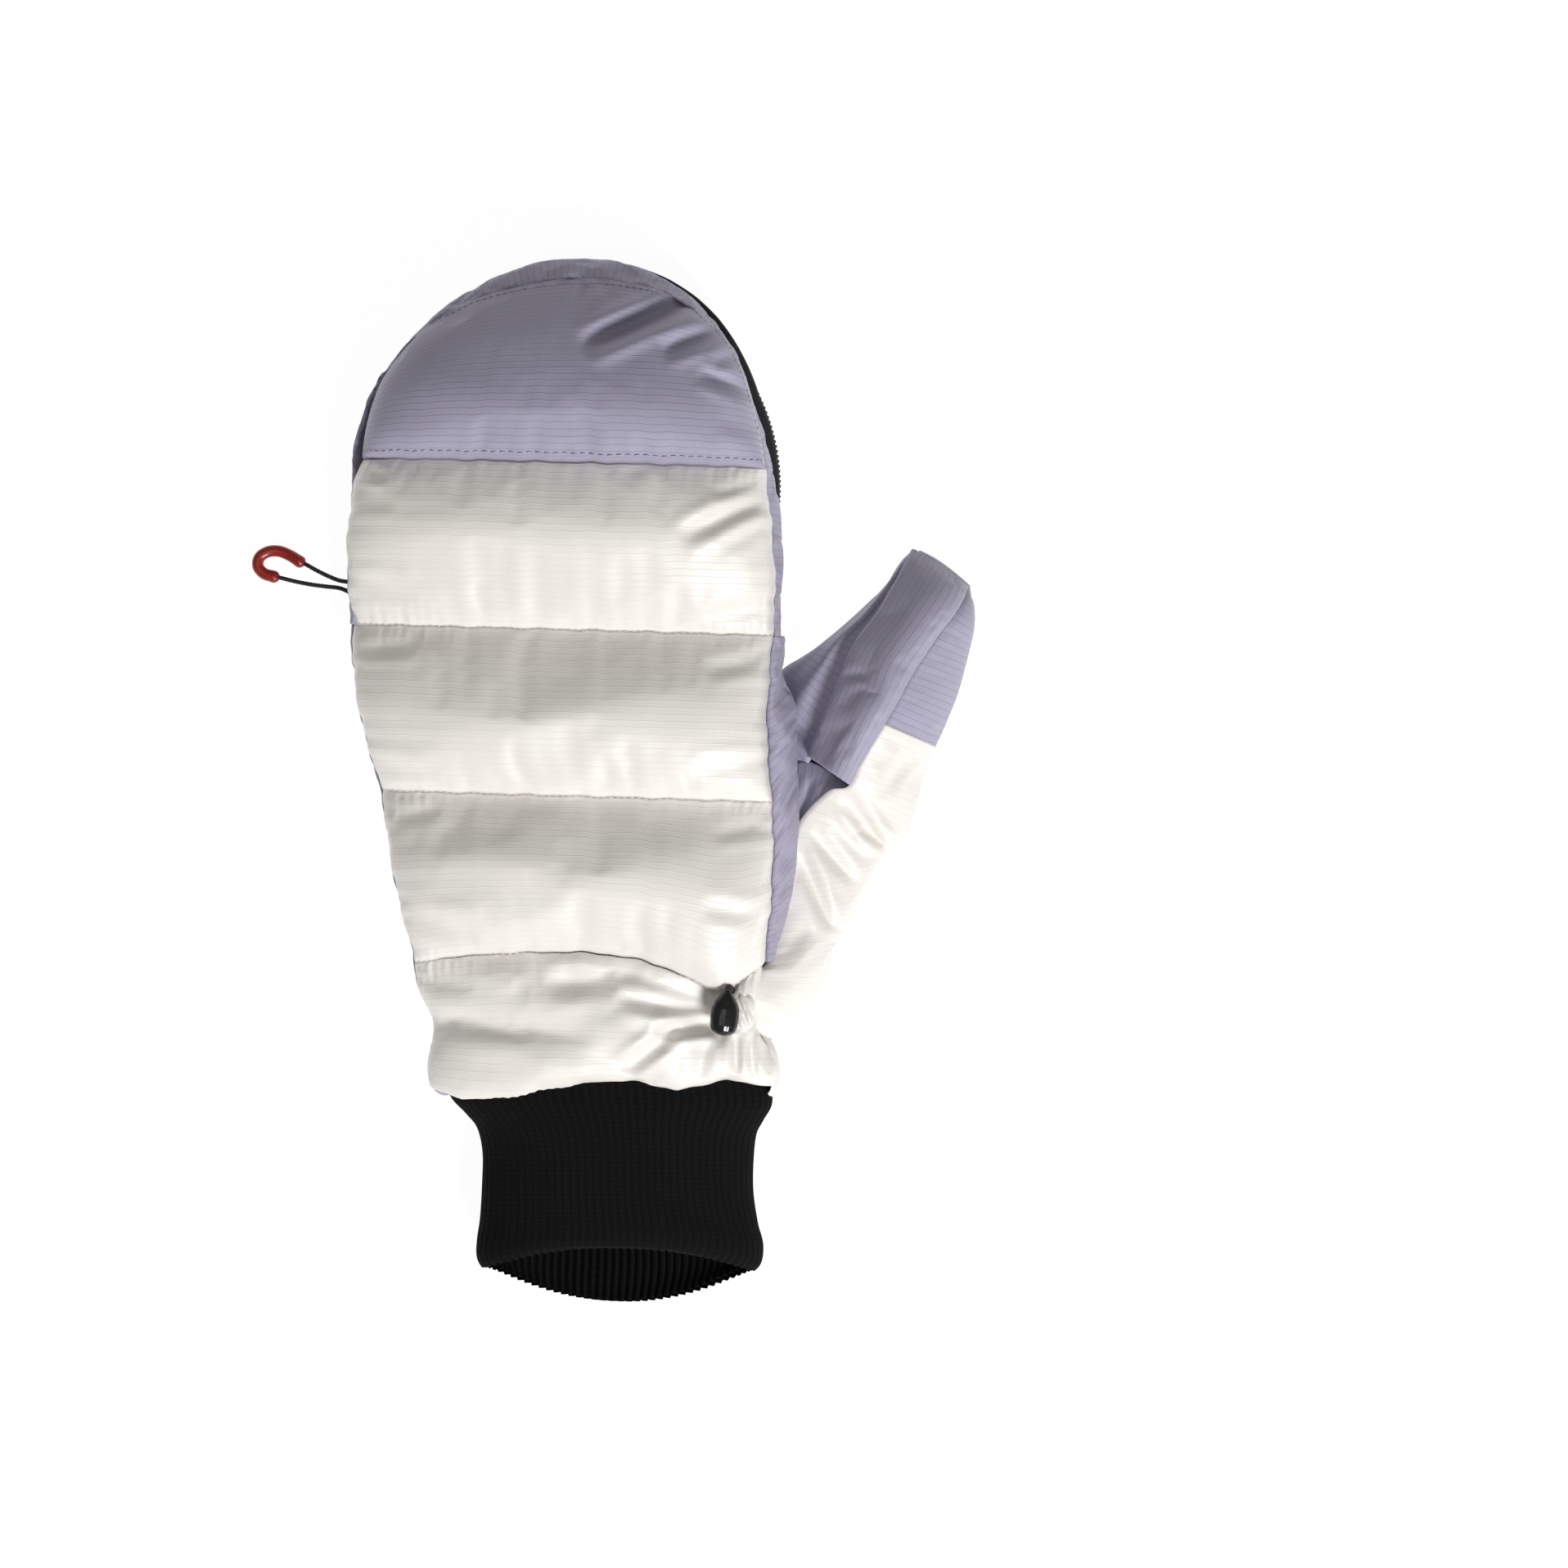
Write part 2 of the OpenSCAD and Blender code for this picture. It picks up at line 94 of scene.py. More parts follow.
def respaced(line, count):
    # the same line with its points evenly spaced
    d = np.r_[0, np.cumsum(np.linalg.norm(np.diff(line, axis=0), axis=1))]
    t = np.linspace(0, d[-1], count)
    return np.stack([np.interp(t, d, line[:, k]) for k in range(line.shape[1])], axis=1)


def patch(low, high, left, right):
    # Coons patch: the two ruled surfaces between opposite edges, added, less the bilinear one between corners
    n, m = len(left), len(low)
    v = np.linspace(0, 1, n)[:, None, None]
    u = np.linspace(0, 1, m)[None, :, None]
    ruledV = (1 - v) * low[None] + v * high[None]
    ruledU = (1 - u) * left[:, None] + u * right[:, None]
    corners = ((1 - u) * (1 - v) * low[0] + u * (1 - v) * low[-1] + (1 - u) * v * high[0] + u * v * high[-1])
    return ruledV + ruledU - corners


def arcLengths(grid, axis):
    # running length along one direction of a grid, averaged across it, so cloth patterns keep their scale
    steps = np.linalg.norm(np.diff(grid, axis=axis), axis=2)
    mean = steps.mean(axis=1 - axis)
    return np.r_[0, np.cumsum(mean)]


def gridUv(grid, turned=False):
    # the cloth's own coordinates in metres: u across the grid, v along it, centred
    u = arcLengths(grid, 1)
    v = arcLengths(grid, 0)
    uu, vv = np.meshgrid(u - u.mean(), v - v.mean())
    if turned:
        uu, vv = vv, uu
    return np.stack([uu, vv], axis=2) * mm


def gridMesh(name, grid, material, uv=None, closed=False, flip=False, thick=0, levels=1):
    # faces between neighbouring rows and columns; closed joins the last column to the first
    n, m = grid.shape[:2]
    cols = m if closed else m - 1
    i, j = np.meshgrid(np.arange(n - 1), np.arange(cols), indexing="ij")
    corners = np.stack([i * m + j, i * m + (j + 1) % m, (i + 1) * m + (j + 1) % m, (i + 1) * m + j], axis=2)
    cornersUv = np.stack([i * (m + 1) + j, i * (m + 1) + j + 1, (i + 1) * (m + 1) + j + 1,
                          (i + 1) * (m + 1) + j], axis=2)
    if flip:
        corners, cornersUv = corners[:, :, ::-1], cornersUv[:, :, ::-1]
    mesh = bpy.data.meshes.new(name)
    mesh.from_pydata((grid.reshape(-1, 3) * mm).tolist(), [], corners.reshape(-1, 4).tolist())
    if uv is None:
        uv = gridUv(grid)
    lastStep = uv[:, -1:] + (uv[:, -1:] - uv[:, -2:-1])
    wide = np.concatenate([uv, lastStep], axis=1).reshape(-1, 2)
    layer = mesh.uv_layers.new(name="cloth")
    layer.data.foreach_set("uv", wide[cornersUv.reshape(-1)].reshape(-1))
    mesh.shade_smooth()
    mesh.materials.append(material)
    piece = bpy.data.objects.new(name, mesh)
    bpy.context.scene.collection.objects.link(piece)
    if levels:
        sub = piece.modifiers.new("smooth", "SUBSURF")
        sub.levels = levels
        sub.render_levels = levels
        sub.boundary_smooth = "PRESERVE_CORNERS"
    if thick:
        solid = piece.modifiers.new("cloth", "SOLIDIFY")
        solid.thickness = thick * mm
        solid.offset = -1
    return piece


def knots(points, count):
    # the same with the knot number as parameter, so that lines with as many knots match row for row
    p = np.array(points, float)
    slope = np.gradient(p, axis=0)
    t = np.linspace(0, len(p) - 1, count)
    k = np.clip(t.astype(int), 0, len(p) - 2)
    s = (t - k)[:, None]
    return ((2 * s**3 - 3 * s**2 + 1) * p[k] + (s**3 - 2 * s**2 + s) * slope[k]
            + (3 * s**2 - 2 * s**3) * p[k + 1] + (s**3 - s**2) * slope[k + 1])


def panelThrough(first, middle, last, columns, power=0.75):
    # rows run from the first line to the last: chord plus sin(pi f)^power times the middle line's offset
    f = np.linspace(0, 1, columns)[None, :, None]
    a, m, b = first[:, None], middle[:, None], last[:, None]
    return (1 - f) * a + f * b + np.sin(np.pi * f) ** power * (m - (a + b) / 2)


def pinch(grid, folds):
    # each fold is a valley along a line on the plan, with a lower ridge on both sides, fading at its two ends
    x, y = grid[:, :, 0], grid[:, :, 1]
    for ax, ay, bx, by, width, depth in folds:
        length = math.hypot(bx - ax, by - ay)
        tx, ty = (bx - ax) / length, (by - ay) / length
        along = ((x - ax) * tx + (y - ay) * ty) / length
        away = (x - ax) * -ty + (y - ay) * tx
        fade = np.clip(1 - np.abs(2 * along - 1) ** 3, 0, 1) * ((along > 0) & (along < 1))
        beside = (np.abs(away) - 1.9 * width) / (0.9 * width)
        valley = np.exp(-(away / width) ** 2) - 0.45 * np.exp(-beside ** 2)
        grid[:, :, 2] -= depth * valley * fade
    return grid


def dent(grid, spot, reach, depth):
    # round hollow, deepest at the spot
    far = np.hypot(grid[:, :, 0] - spot[0], grid[:, :, 1] - spot[1])
    grid[:, :, 2] -= depth * np.exp(-(far / reach) ** 2)
    return grid


def lumps(grid, seed, depth, scale=(26, 13)):
    # soft unevenness of the filling: a few seeded waves over the plan, longer across the hand than along it
    chance = np.random.default_rng(seed)
    x, y = grid[:, :, 0], grid[:, :, 1]
    total = np.zeros(x.shape)
    for wave in range(9):
        kx, ky = chance.normal(0, 1, 2)
        total += np.sin(2 * np.pi * (kx * x / scale[0] + ky * y / scale[1]) * 0.7
                        + chance.uniform(0, 6.28)) / 3
    n, m = x.shape
    t, s = np.linspace(0, 1, n)[:, None], np.linspace(0, 1, m)[None]
    fadeT, fadeS = np.clip(np.sin(np.pi * t) * 2, 0, 1), np.clip(np.sin(np.pi * s) * 3, 0, 1)
    grid[:, :, 2] += depth * total * fadeT * fadeS
    return grid


def pucker(grid, edge, pitch, depth, reach, seed):
    # small waves along one edge of a grid (low, high, left or right): two seeded sines, fading inwards
    turned = edge in ("left", "right")
    work = grid.transpose(1, 0, 2) if turned else grid
    if edge in ("high", "right"):
        work = work[::-1]
    along = np.r_[0, np.cumsum(np.linalg.norm(np.diff(work[0], axis=0), axis=1))]
    inward = np.cumsum(np.r_[np.zeros((1, work.shape[1])), np.linalg.norm(np.diff(work, axis=0), axis=2)],
                       axis=0)
    chance = np.random.default_rng(seed)
    shift = chance.uniform(0, 6.28, 3)
    wave = (np.sin(2 * np.pi * along / pitch + shift[0] + 1.6 * np.sin(along / 11 + shift[1]))
            + 0.6 * np.sin(2 * np.pi * along / (pitch * 1.7) + shift[2]))
    size = 0.6 + 0.4 * np.sin(along / 9 + shift[2])
    work[:, :, 2] += depth * (wave * size)[None] * np.exp(-inward / reach) * np.clip(inward / 1.5, 0, 1)
    return grid


def weld(piece):
    # closes the poles and seams of a swept form and turns its faces outwards
    mesh = bmesh.new()
    mesh.from_mesh(piece.data)
    bmesh.ops.remove_doubles(mesh, verts=mesh.verts, dist=2e-6)
    bmesh.ops.recalc_face_normals(mesh, faces=mesh.faces)
    mesh.to_mesh(piece.data)
    mesh.free()


def sweep(path, radii, sides, flat=1.0, up=(0, 0, 1)):
    # rings about a path: radius times (cos, flat sin) on the sideways and upward normals
    p = np.array(path, float)
    tangent = np.gradient(p, axis=0)
    tangent /= np.linalg.norm(tangent, axis=1, keepdims=True)
    side = np.cross(tangent, np.array(up, float))
    weak = np.linalg.norm(side, axis=1) < 1e-3
    side[weak] = np.cross(tangent[weak], (1, 0, 0))
    side /= np.linalg.norm(side, axis=1, keepdims=True)
    lift = np.cross(side, tangent)
    a = np.linspace(0, 2 * np.pi, sides, endpoint=False)
    r = np.broadcast_to(np.array(radii, float), (len(p),))[:, None, None]
    return p[:, None] + r * (np.cos(a)[None, :, None] * side[:, None]
                             + flat * np.sin(a)[None, :, None] * lift[:, None])


def roundEnds(path, radius, steps=4):
    # a path with a half ball at each end: the radius falls as cos and the centre runs on as sin
    p = np.array(path, float)
    startWay = (p[0] - p[1]) / np.linalg.norm(p[0] - p[1])
    endWay = (p[-1] - p[-2]) / np.linalg.norm(p[-1] - p[-2])
    a = np.linspace(0, np.pi / 2, steps + 1)[1:]
    first = p[0] + startWay * radius * np.sin(a)[::-1, None]
    last = p[-1] + endWay * radius * np.sin(a)[:, None]
    ball = radius * np.cos(a)
    ball[-1] = 0
    return np.concatenate([first, p, last]), np.r_[ball[::-1], np.full(len(p), radius), ball]


def tubePiece(name, path, radius, material, sides):
    line, radii = roundEnds(path, radius)
    piece = gridMesh(name, sweep(line, radii, sides), material, closed=True, levels=0)
    weld(piece)
    return piece


def superBlock(centre, size, e1, e2, rings=14, sides=28):
    # superellipsoid: size times (cos v cos u, cos v sin u, sin v), each to a power that squares it off
    v = np.linspace(-np.pi / 2, np.pi / 2, rings)[:, None]
    u = np.linspace(0, 2 * np.pi, sides, endpoint=False)[None]
    x = size[0] * bent(np.cos(v), e1) * bent(np.cos(u), e2)
    y = size[1] * bent(np.cos(v), e1) * bent(np.sin(u), e2)
    z = size[2] * bent(np.sin(v), e1) * np.ones_like(u)
    return np.array(centre, float) + np.stack([x, y, z], axis=2)


def joinPieces(name, pieces):
    # several meshes of one rigid thing become one piece
    with bpy.context.temp_override(active_object=pieces[0], selected_editable_objects=pieces):
        bpy.ops.object.join()
    pieces[0].name = name
    return pieces[0]


def stitchRow(name, line, plan, material):
    # a row of short threads: low-sided capsules set along the line, each sagging into the cloth at its ends
    line = np.asarray(line, float)
    d = np.r_[0, np.cumsum(np.linalg.norm(np.diff(line, axis=0), axis=1))]
    count = int((d[-1] - plan["length"]) / plan["pitch"])
    left = (d[-1] - plan["pitch"] * (count - 1) - plan["length"]) / 2
    start = plan["pitch"] * np.arange(count)[:, None] + left
    f = np.linspace(0, 1, 5)[None]
    at = start + f * plan["length"]
    points = np.stack([np.interp(at, d, line[:, k]) for k in range(3)], axis=2)
    ahead = np.stack([np.interp(at + 0.1, d, line[:, k]) for k in range(3)], axis=2) - points
    ahead /= np.maximum(np.linalg.norm(ahead, axis=2, keepdims=True), 1e-9)
    side = np.cross(ahead, (0, 0, 1.0))
    side /= np.maximum(np.linalg.norm(side, axis=2, keepdims=True), 1e-9)
    lift = np.cross(side, ahead)
    points = points + lift * (plan["lift"] - 0.35 * (2 * f[..., None] - 1) ** 2)
    radius = plan["radius"] * np.array([0.15, 0.85, 1, 0.85, 0.15])[None, :, None, None]
    a = np.linspace(0, 2 * np.pi, 6, endpoint=False)[None, None, :, None]
    rings = points[:, :, None] + radius * (np.cos(a) * side[:, :, None] + np.sin(a) * lift[:, :, None])
    i, j = np.meshgrid(np.arange(4), np.arange(6), indexing="ij")
    face = np.stack([i * 6 + j, i * 6 + (j + 1) % 6, (i + 1) * 6 + (j + 1) % 6, (i + 1) * 6 + j],
                    axis=2).reshape(-1, 4)
    ends = [[5, 4, 3, 2, 1, 0], [24, 25, 26, 27, 28, 29]]
    faces = (face[None] + 30 * np.arange(count)[:, None, None]).reshape(-1, 4).tolist()
    for end in ends:
        faces += (np.array(end)[None] + 30 * np.arange(count)[:, None]).tolist()
    mesh = bpy.data.meshes.new(name)
    mesh.from_pydata((rings.reshape(-1, 3) * mm).tolist(), [], faces)
    mesh.uv_layers.new(name="cloth")
    mesh.shade_smooth()
    mesh.materials.append(material)
    piece = bpy.data.objects.new(name, mesh)
    bpy.context.scene.collection.objects.link(piece)
    return piece


def coordsOf(piece):
    flat = np.empty(len(piece.data.vertices) * 3)
    piece.data.vertices.foreach_get("co", flat)
    return flat.reshape(-1, 3)


def setCoords(piece, co):
    piece.data.vertices.foreach_set("co", co.reshape(-1))
    piece.data.update()


# Each entry: (piece, pinned mask, settings); they are blown up together in one run.
puffing = []


def puffLater(piece, pinned, pressure=2.0, gather=0.04, cap=8.0, bend=0.5):
    puffing.append((piece, pinned.reshape(-1),
                    {"pressure": pressure, "gather": gather, "cap": cap, "bend": bend}))


def puffAll(frames=18):
    # one short cloth run for all waiting panels: held at their seams, blown from inside, moves capped
    if not puffing:
        return
    scene = bpy.context.scene
    start = {}
    hidden = []
    for piece, pinned, plan in puffing:
        for mod in piece.modifiers:
            mod.show_viewport = False
            hidden.append(mod)
        start[piece.name] = coordsOf(piece)
        group = piece.vertex_groups.new(name="pinned")
        group.add(np.nonzero(pinned > 0)[0].tolist(), 1.0, "REPLACE")
        cloth = piece.modifiers.new("puff", "CLOTH")
        kit = cloth.settings
        kit.quality = 5
        kit.mass = 0.15
        kit.tension_stiffness = 25
        kit.compression_stiffness = 25
        kit.shear_stiffness = 12
        kit.bending_stiffness = plan["bend"]
        kit.air_damping = 4
        kit.vertex_group_mass = "pinned"
        kit.use_pressure = True
        kit.uniform_pressure_force = plan["pressure"]
        kit.shrink_min = -plan["gather"]
        kit.shrink_max = -plan["gather"]
        kit.effector_weights.gravity = 0
        cloth.collision_settings.use_collision = False
        cloth.point_cache.frame_start = 1
        cloth.point_cache.frame_end = frames
    for f in range(1, frames + 1):
        scene.frame_set(f)
    graph = bpy.context.evaluated_depsgraph_get()
    for piece, pinned, plan in puffing:
        shown = piece.evaluated_get(graph)
        done = np.empty(len(piece.data.vertices) * 3)
        shown.data.vertices.foreach_get("co", done)
        rest = start[piece.name]
        move = done.reshape(-1, 3) - rest
        size = np.linalg.norm(move, axis=1, keepdims=True)
        limit = plan["cap"] * mm
        move *= np.where(size > limit, limit / np.maximum(size, 1e-9), 1)
        piece.modifiers.remove(piece.modifiers["puff"])
        piece.vertex_groups.remove(piece.vertex_groups["pinned"])
        setCoords(piece, rest + move)
    for mod in hidden:
        mod.show_viewport = True
    scene.frame_set(1)


def edgesPinned(grid):
    pinned = np.zeros(grid.shape[:2])
    pinned[0] = pinned[-1] = 1
    pinned[:, 0] = pinned[:, -1] = 1
    return pinned


# Materials.

def newMaterial(name):
    material = bpy.data.materials.new(name)
    material.use_nodes = True
    net = material.node_tree
    return material, net, net.nodes["Principled BSDF"]


def mathNode(net, kind, a, b=None):
    node = net.nodes.new("ShaderNodeMath")
    node.operation = kind
    for k, value in enumerate((a, b)):
        if value is None:
            continue
        if isinstance(value, (int, float)):
            node.inputs[k].default_value = value
        else:
            net.links.new(value, node.inputs[k])
    return node.outputs[0]


def threadLines(net, coordinate, pitch, sharp):
    # 1 on lines a pitch apart, falling to 0 between them
    along = mathNode(net, "MULTIPLY", coordinate, 1 / pitch)
    part = mathNode(net, "FRACT", along)
    away = mathNode(net, "ABSOLUTE", mathNode(net, "SUBTRACT", part, 0.5))
    return mathNode(net, "POWER", mathNode(net, "MULTIPLY", away, 2), sharp)


def mixColour(net, factor, a, b):
    node = net.nodes.new("ShaderNodeMix")
    node.data_type = "RGBA"
    net.links.new(factor, node.inputs[0])
    for value, socket in ((a, node.inputs[6]), (b, node.inputs[7])):
        if isinstance(value, tuple):
            socket.default_value = (*value, 1)
        else:
            net.links.new(value, socket)
    return node.outputs[2]


def clothAxes(net):
    # the cloth's own two coordinates, in metres
    uv = net.nodes.new("ShaderNodeUVMap")
    uv.uv_map = "cloth"
    split = net.nodes.new("ShaderNodeSeparateXYZ")
    net.links.new(uv.outputs[0], split.inputs[0])
    return split.outputs[0], split.outputs[1]


def noiseOf(net, scale, detail):
    place = net.nodes.new("ShaderNodeTexCoord")
    noise = net.nodes.new("ShaderNodeTexNoise")
    noise.inputs["Scale"].default_value = scale
    noise.inputs["Detail"].default_value = detail
    net.links.new(place.outputs["Object"], noise.inputs["Vector"])
    return noise.outputs["Fac"]


def raised(net, shader, height, strength, distance):
    bump = net.nodes.new("ShaderNodeBump")
    bump.inputs["Strength"].default_value = strength
    bump.inputs["Distance"].default_value = distance
    net.links.new(height, bump.inputs["Height"])
    net.links.new(bump.outputs[0], shader.inputs["Normal"])


def clothFinish(shader, roughness, sheen, sheenRoughness, gloss):
    shader.inputs["Roughness"].default_value = roughness
    shader.inputs["Sheen Weight"].default_value = sheen
    shader.inputs["Sheen Roughness"].default_value = sheenRoughness
    shader.inputs["Specular IOR Level"].default_value = gloss


def ripstop(name, plan):
    # plain weave crossed by heavier threads a pitch apart, with slow changes of tone
    material, net, shader = newMaterial(name)
    u, v = clothAxes(net)
    across = threadLines(net, v, plan["pitch"], plan["sharp"])
    along = threadLines(net, u, plan["pitch"], plan["sharp"] * 1.5)
    grid = mathNode(net, "MAXIMUM", across, mathNode(net, "MULTIPLY", along, plan["crossLines"]))
    weave = mathNode(net, "MULTIPLY", threadLines(net, u, plan["yarn"], 1),
                     threadLines(net, v, plan["yarn"], 1))
    base = mixColour(net, noiseOf(net, 38, 4), plan["dark"], plan["light"])
    lineShare = mathNode(net, "MULTIPLY", grid, plan["lineStrength"])
    net.links.new(mixColour(net, lineShare, base, plan["line"]), shader.inputs["Base Color"])
    height = mathNode(net, "ADD", grid, mathNode(net, "MULTIPLY", weave, 0.35))
    fibre = mathNode(net, "MULTIPLY", noiseOf(net, 900, 3), 0.3)
    raised(net, shader, mathNode(net, "ADD", height, fibre), plan["relief"], 0.0002)
    clothFinish(shader, plan["roughness"], plan["sheen"], 0.4, plan["gloss"])
    return material


def knit(name, plan):
    # columns of stitches: small chevrons along each rib; painted shade darkens the colour in the grooves
    # between ribs and, a little, between the loops
    material, net, shader = newMaterial(name)
    u, v = clothAxes(net)
    rib = threadLines(net, u, plan["rib"], 1)
    slant = mathNode(net, "MULTIPLY", rib, plan["stitch"] * 0.6)
    loops = threadLines(net, mathNode(net, "ADD", v, slant), plan["stitch"], 1.4)
    # painted shade: the colour goes a little darker between loops and dark in the grooves between ribs
    shading = mathNode(net, "ADD", 0.85, mathNode(net, "MULTIPLY", loops, 0.15))
    paintedShade = mathNode(net, "MULTIPLY", mathNode(net, "SUBTRACT", 1.0, rib), shading)
    net.links.new(mixColour(net, paintedShade, plan["dark"], plan["light"]), shader.inputs["Base Color"])
    fuzz = mathNode(net, "MULTIPLY", noiseOf(net, 1400, 4), 0.8)
    height = mathNode(net, "ADD", mathNode(net, "MULTIPLY", loops, 0.3), fuzz)
    raised(net, shader, height, 0.6, 0.0003)
    clothFinish(shader, 0.9, 0, 0.5, 0.06)
    return material


def moulded(name, plan):
    # plastic or rubber with a fine grain and a little unevenness in its gloss
    material, net, shader = newMaterial(name)
    grain = noiseOf(net, plan["grain"], 5)
    net.links.new(mixColour(net, grain, plan["dark"], plan["light"]), shader.inputs["Base Color"])
    spread = net.nodes.new("ShaderNodeMapRange")
    spread.inputs["To Min"].default_value = plan["roughness"] * 0.8
    spread.inputs["To Max"].default_value = plan["roughness"] * 1.25
    net.links.new(grain, spread.inputs["Value"])
    net.links.new(spread.outputs[0], shader.inputs["Roughness"])
    raised(net, shader, grain, plan["relief"], 0.0001)
    shader.inputs["Metallic"].default_value = plan.get("metal", 0)
    return material


def grey(value):
    return (value, value, value)


lilac = ripstop("lilacRipstop", {
    "dark": (0.345, 0.328, 0.436), "light": (0.430, 0.408, 0.530), "line": (0.21, 0.20, 0.28),
                                 "lineStrength": 0.48,
    "pitch": 0.0021, "sharp": 9, "crossLines": 0.25, "yarn": 0.00045, "relief": 0.45, "roughness": 0.62,
    "sheen": 0.25, "gloss": 0.35})
pearl = ripstop("pearlSatin", {
    "dark": (0.815, 0.780, 0.730), "light": (0.875, 0.848, 0.803), "line": (0.72, 0.68, 0.63),
                               "lineStrength": 0.22,
    "pitch": 0.0021, "sharp": 10, "crossLines": 0.2, "yarn": 0.0004, "relief": 0.30, "roughness": 0.40,
    "sheen": 0.15, "gloss": 0.6})
liningCloth = ripstop("brushedLining", {
    "dark": (0.018, 0.018, 0.020), "light": (0.035, 0.035, 0.038), "line": (0.03, 0.03, 0.03),
                                        "lineStrength": 0.2,
    "pitch": 0.0012, "sharp": 3, "crossLines": 1.0, "yarn": 0.0004, "relief": 0.6, "roughness": 0.9,
    "sheen": 0.4, "gloss": 0.2})
tapeCloth = ripstop("zipTape", {
    "dark": (0.006, 0.006, 0.007), "light": (0.014, 0.014, 0.015), "line": (0.025, 0.025, 0.027),
                                "lineStrength": 0.5,
    "pitch": 0.0008, "sharp": 2, "crossLines": 0.6, "yarn": 0.0004, "relief": 0.8, "roughness": 0.75,
    "sheen": 0.2, "gloss": 0.3})
ribKnit = knit("ribKnit", {"rib": 0.0024, "stitch": 0.0016, "dark": (0.0004, 0.0004, 0.0005),
                           "light": (0.0085, 0.0083, 0.0082)})
thread = moulded("stitchThread", {"dark": (0.36, 0.34, 0.42), "light": (0.50, 0.48, 0.56), "roughness": 0.6,
                                  "relief": 0.5, "grain": 3000})
paleThread = moulded("paleThread",
                     {"dark": (0.62, 0.59, 0.57), "light": (0.76, 0.73, 0.70), "roughness": 0.6,
                      "relief": 0.5, "grain": 3000})
coilPlastic = moulded("zipCoil",
                      {"dark": grey(0.006), "light": grey(0.014), "roughness": 0.35, "relief": 0.3,
                       "grain": 1200})
sliderPlastic = moulded("sliderPlastic",
                        {"dark": grey(0.008), "light": grey(0.02), "roughness": 0.38, "relief": 0.5,
                         "grain": 900})
cordBraid = moulded("braidedCord",
                    {"dark": (0.004, 0.004, 0.005), "light": (0.022, 0.022, 0.024), "roughness": 0.7,
                     "relief": 1.0, "grain": 1800})
gripRubber = moulded("gripRubber",
                     {"dark": (0.20, 0.010, 0.007), "light": (0.33, 0.018, 0.011), "roughness": 0.27,
                      "relief": 0.35, "grain": 700})
lockPlastic = moulded("lockPlastic",
                      {"dark": grey(0.006), "light": grey(0.013), "roughness": 0.22, "relief": 0.25,
                       "grain": 600})
springWire = moulded("springWire", {"dark": grey(0.5), "light": grey(0.7), "roughness": 0.3, "relief": 0.2,
                                    "grain": 800, "metal": 1})
print("materials made")


def finishPiece(piece, body, slot, *nodes, padded=None):
    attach(piece, body)
    if nodes:
        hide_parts(*nodes)


# Back of the hand: four padded rows between quilting seams.

backPlan = {
    "leftEdge": [(-62.0, 50), (-64.0, 41), (-65.0, 30), (-65.2, 20), (-64.2, 8), (-63.2, -2), (-62.0, -16),
                 (-58.4, -32), (-53.2, -50), (-50.6, -64), (-47.0, -80), (-42.8, -96), (-39.4, -110),
                 (-33.5, -121)],
    "rightEdge": [(59.1, 50), (61.8, 30), (63.2, 14), (62.8, 0), (61.8, -24), (63.0, -41), (64.6, -58),
                  (64.6, -79), (63.0, -98), (62, -108), (62, -121)],
    "leftZ": 20.0, "rightZ": 33.0, "columns": 124,
    "crests": {"tip": 47.5, "fold": 40.0, "middle": 41.5, "wrist": 40.5},
    "puff": {"hood": 10.5, "knuckle": 11.6, "mid": 11.9},
}
columns = backPlan["columns"]


def edgeX(points, y):
    # the outline's x at a height y, with the small wander that a sewn edge has
    line = knots(points, 300)
    order = np.argsort(line[:, 1])
    y = np.asarray(y, float)
    wander = 0.22 * np.sin(y / 0.95) * np.sin(y / 7.3) + 0.25 * np.sin(y / 2.6 + 1)
    return np.interp(y, line[order, 1], line[order, 0]) + wander


def seamArch(left, right, crest, bow=None):
    # from edge to edge: x by a cosine that crowds towards the edges, z a flat-topped arch over the chord
    a = np.linspace(0, np.pi, columns)
    c = np.cos(a)
    f = (1 - bent(c, 0.86)) / 2
    left, right = np.array(left, float), np.array(right, float)
    line = left + f[:, None] * (right - left)
    chordMiddle = (left[2] + right[2]) / 2
    line[:, 2] += (crest - chordMiddle) * np.sin(a) ** 0.5
    line[:, 1] += 0.30 * np.sin(line[:, 0] / 6.1) * np.sin(line[:, 0] / 1.7 + crest) * np.sin(a)
    if bow is not None:
        line[:, 1] += np.interp(f, bow[0], bow[1])
    return line


def archAt(y, crest):
    return seamArch((edgeX(backPlan["leftEdge"], y), y, backPlan["leftZ"]),
                    (edgeX(backPlan["rightEdge"], y), y, backPlan["rightZ"]), crest)


def sideLine(points, first, last, count):
    # a panel's side: follows the outline in plan, straight in height, and ends exactly on its two seams
    y = np.linspace(first[1], last[1], count)
    z = np.linspace(first[2], last[2], count)
    line = np.stack([edgeX(points, y), y, z], axis=1)
    line[0], line[-1] = first, last
    return line


def baffle(low, high, rows, puff, ease, peak=1.12, belly=1.6):
    # Coons patch between two seams, raised by a rounded puff; the left side swells outwards as it rolls under
    left = sideLine(backPlan["leftEdge"], low[0], high[0], rows)
    right = sideLine(backPlan["rightEdge"], low[-1], high[-1], rows)
    grid = patch(low, high, left, right)
    t = np.linspace(0, 1, rows)[:, None]
    s = np.linspace(0, 1, columns)[None]
    grid[:, :, 2] += puff * np.sin(np.pi * t ** peak) ** (0.62 + ease * t) * np.sin(np.pi * s) ** 0.42
    swell = np.sin(np.pi * t) ** 0.7 - 0.25
    grid[:, :, 0] -= belly * swell * np.exp(-((s - 0.10) / 0.09) ** 2)
    return grid


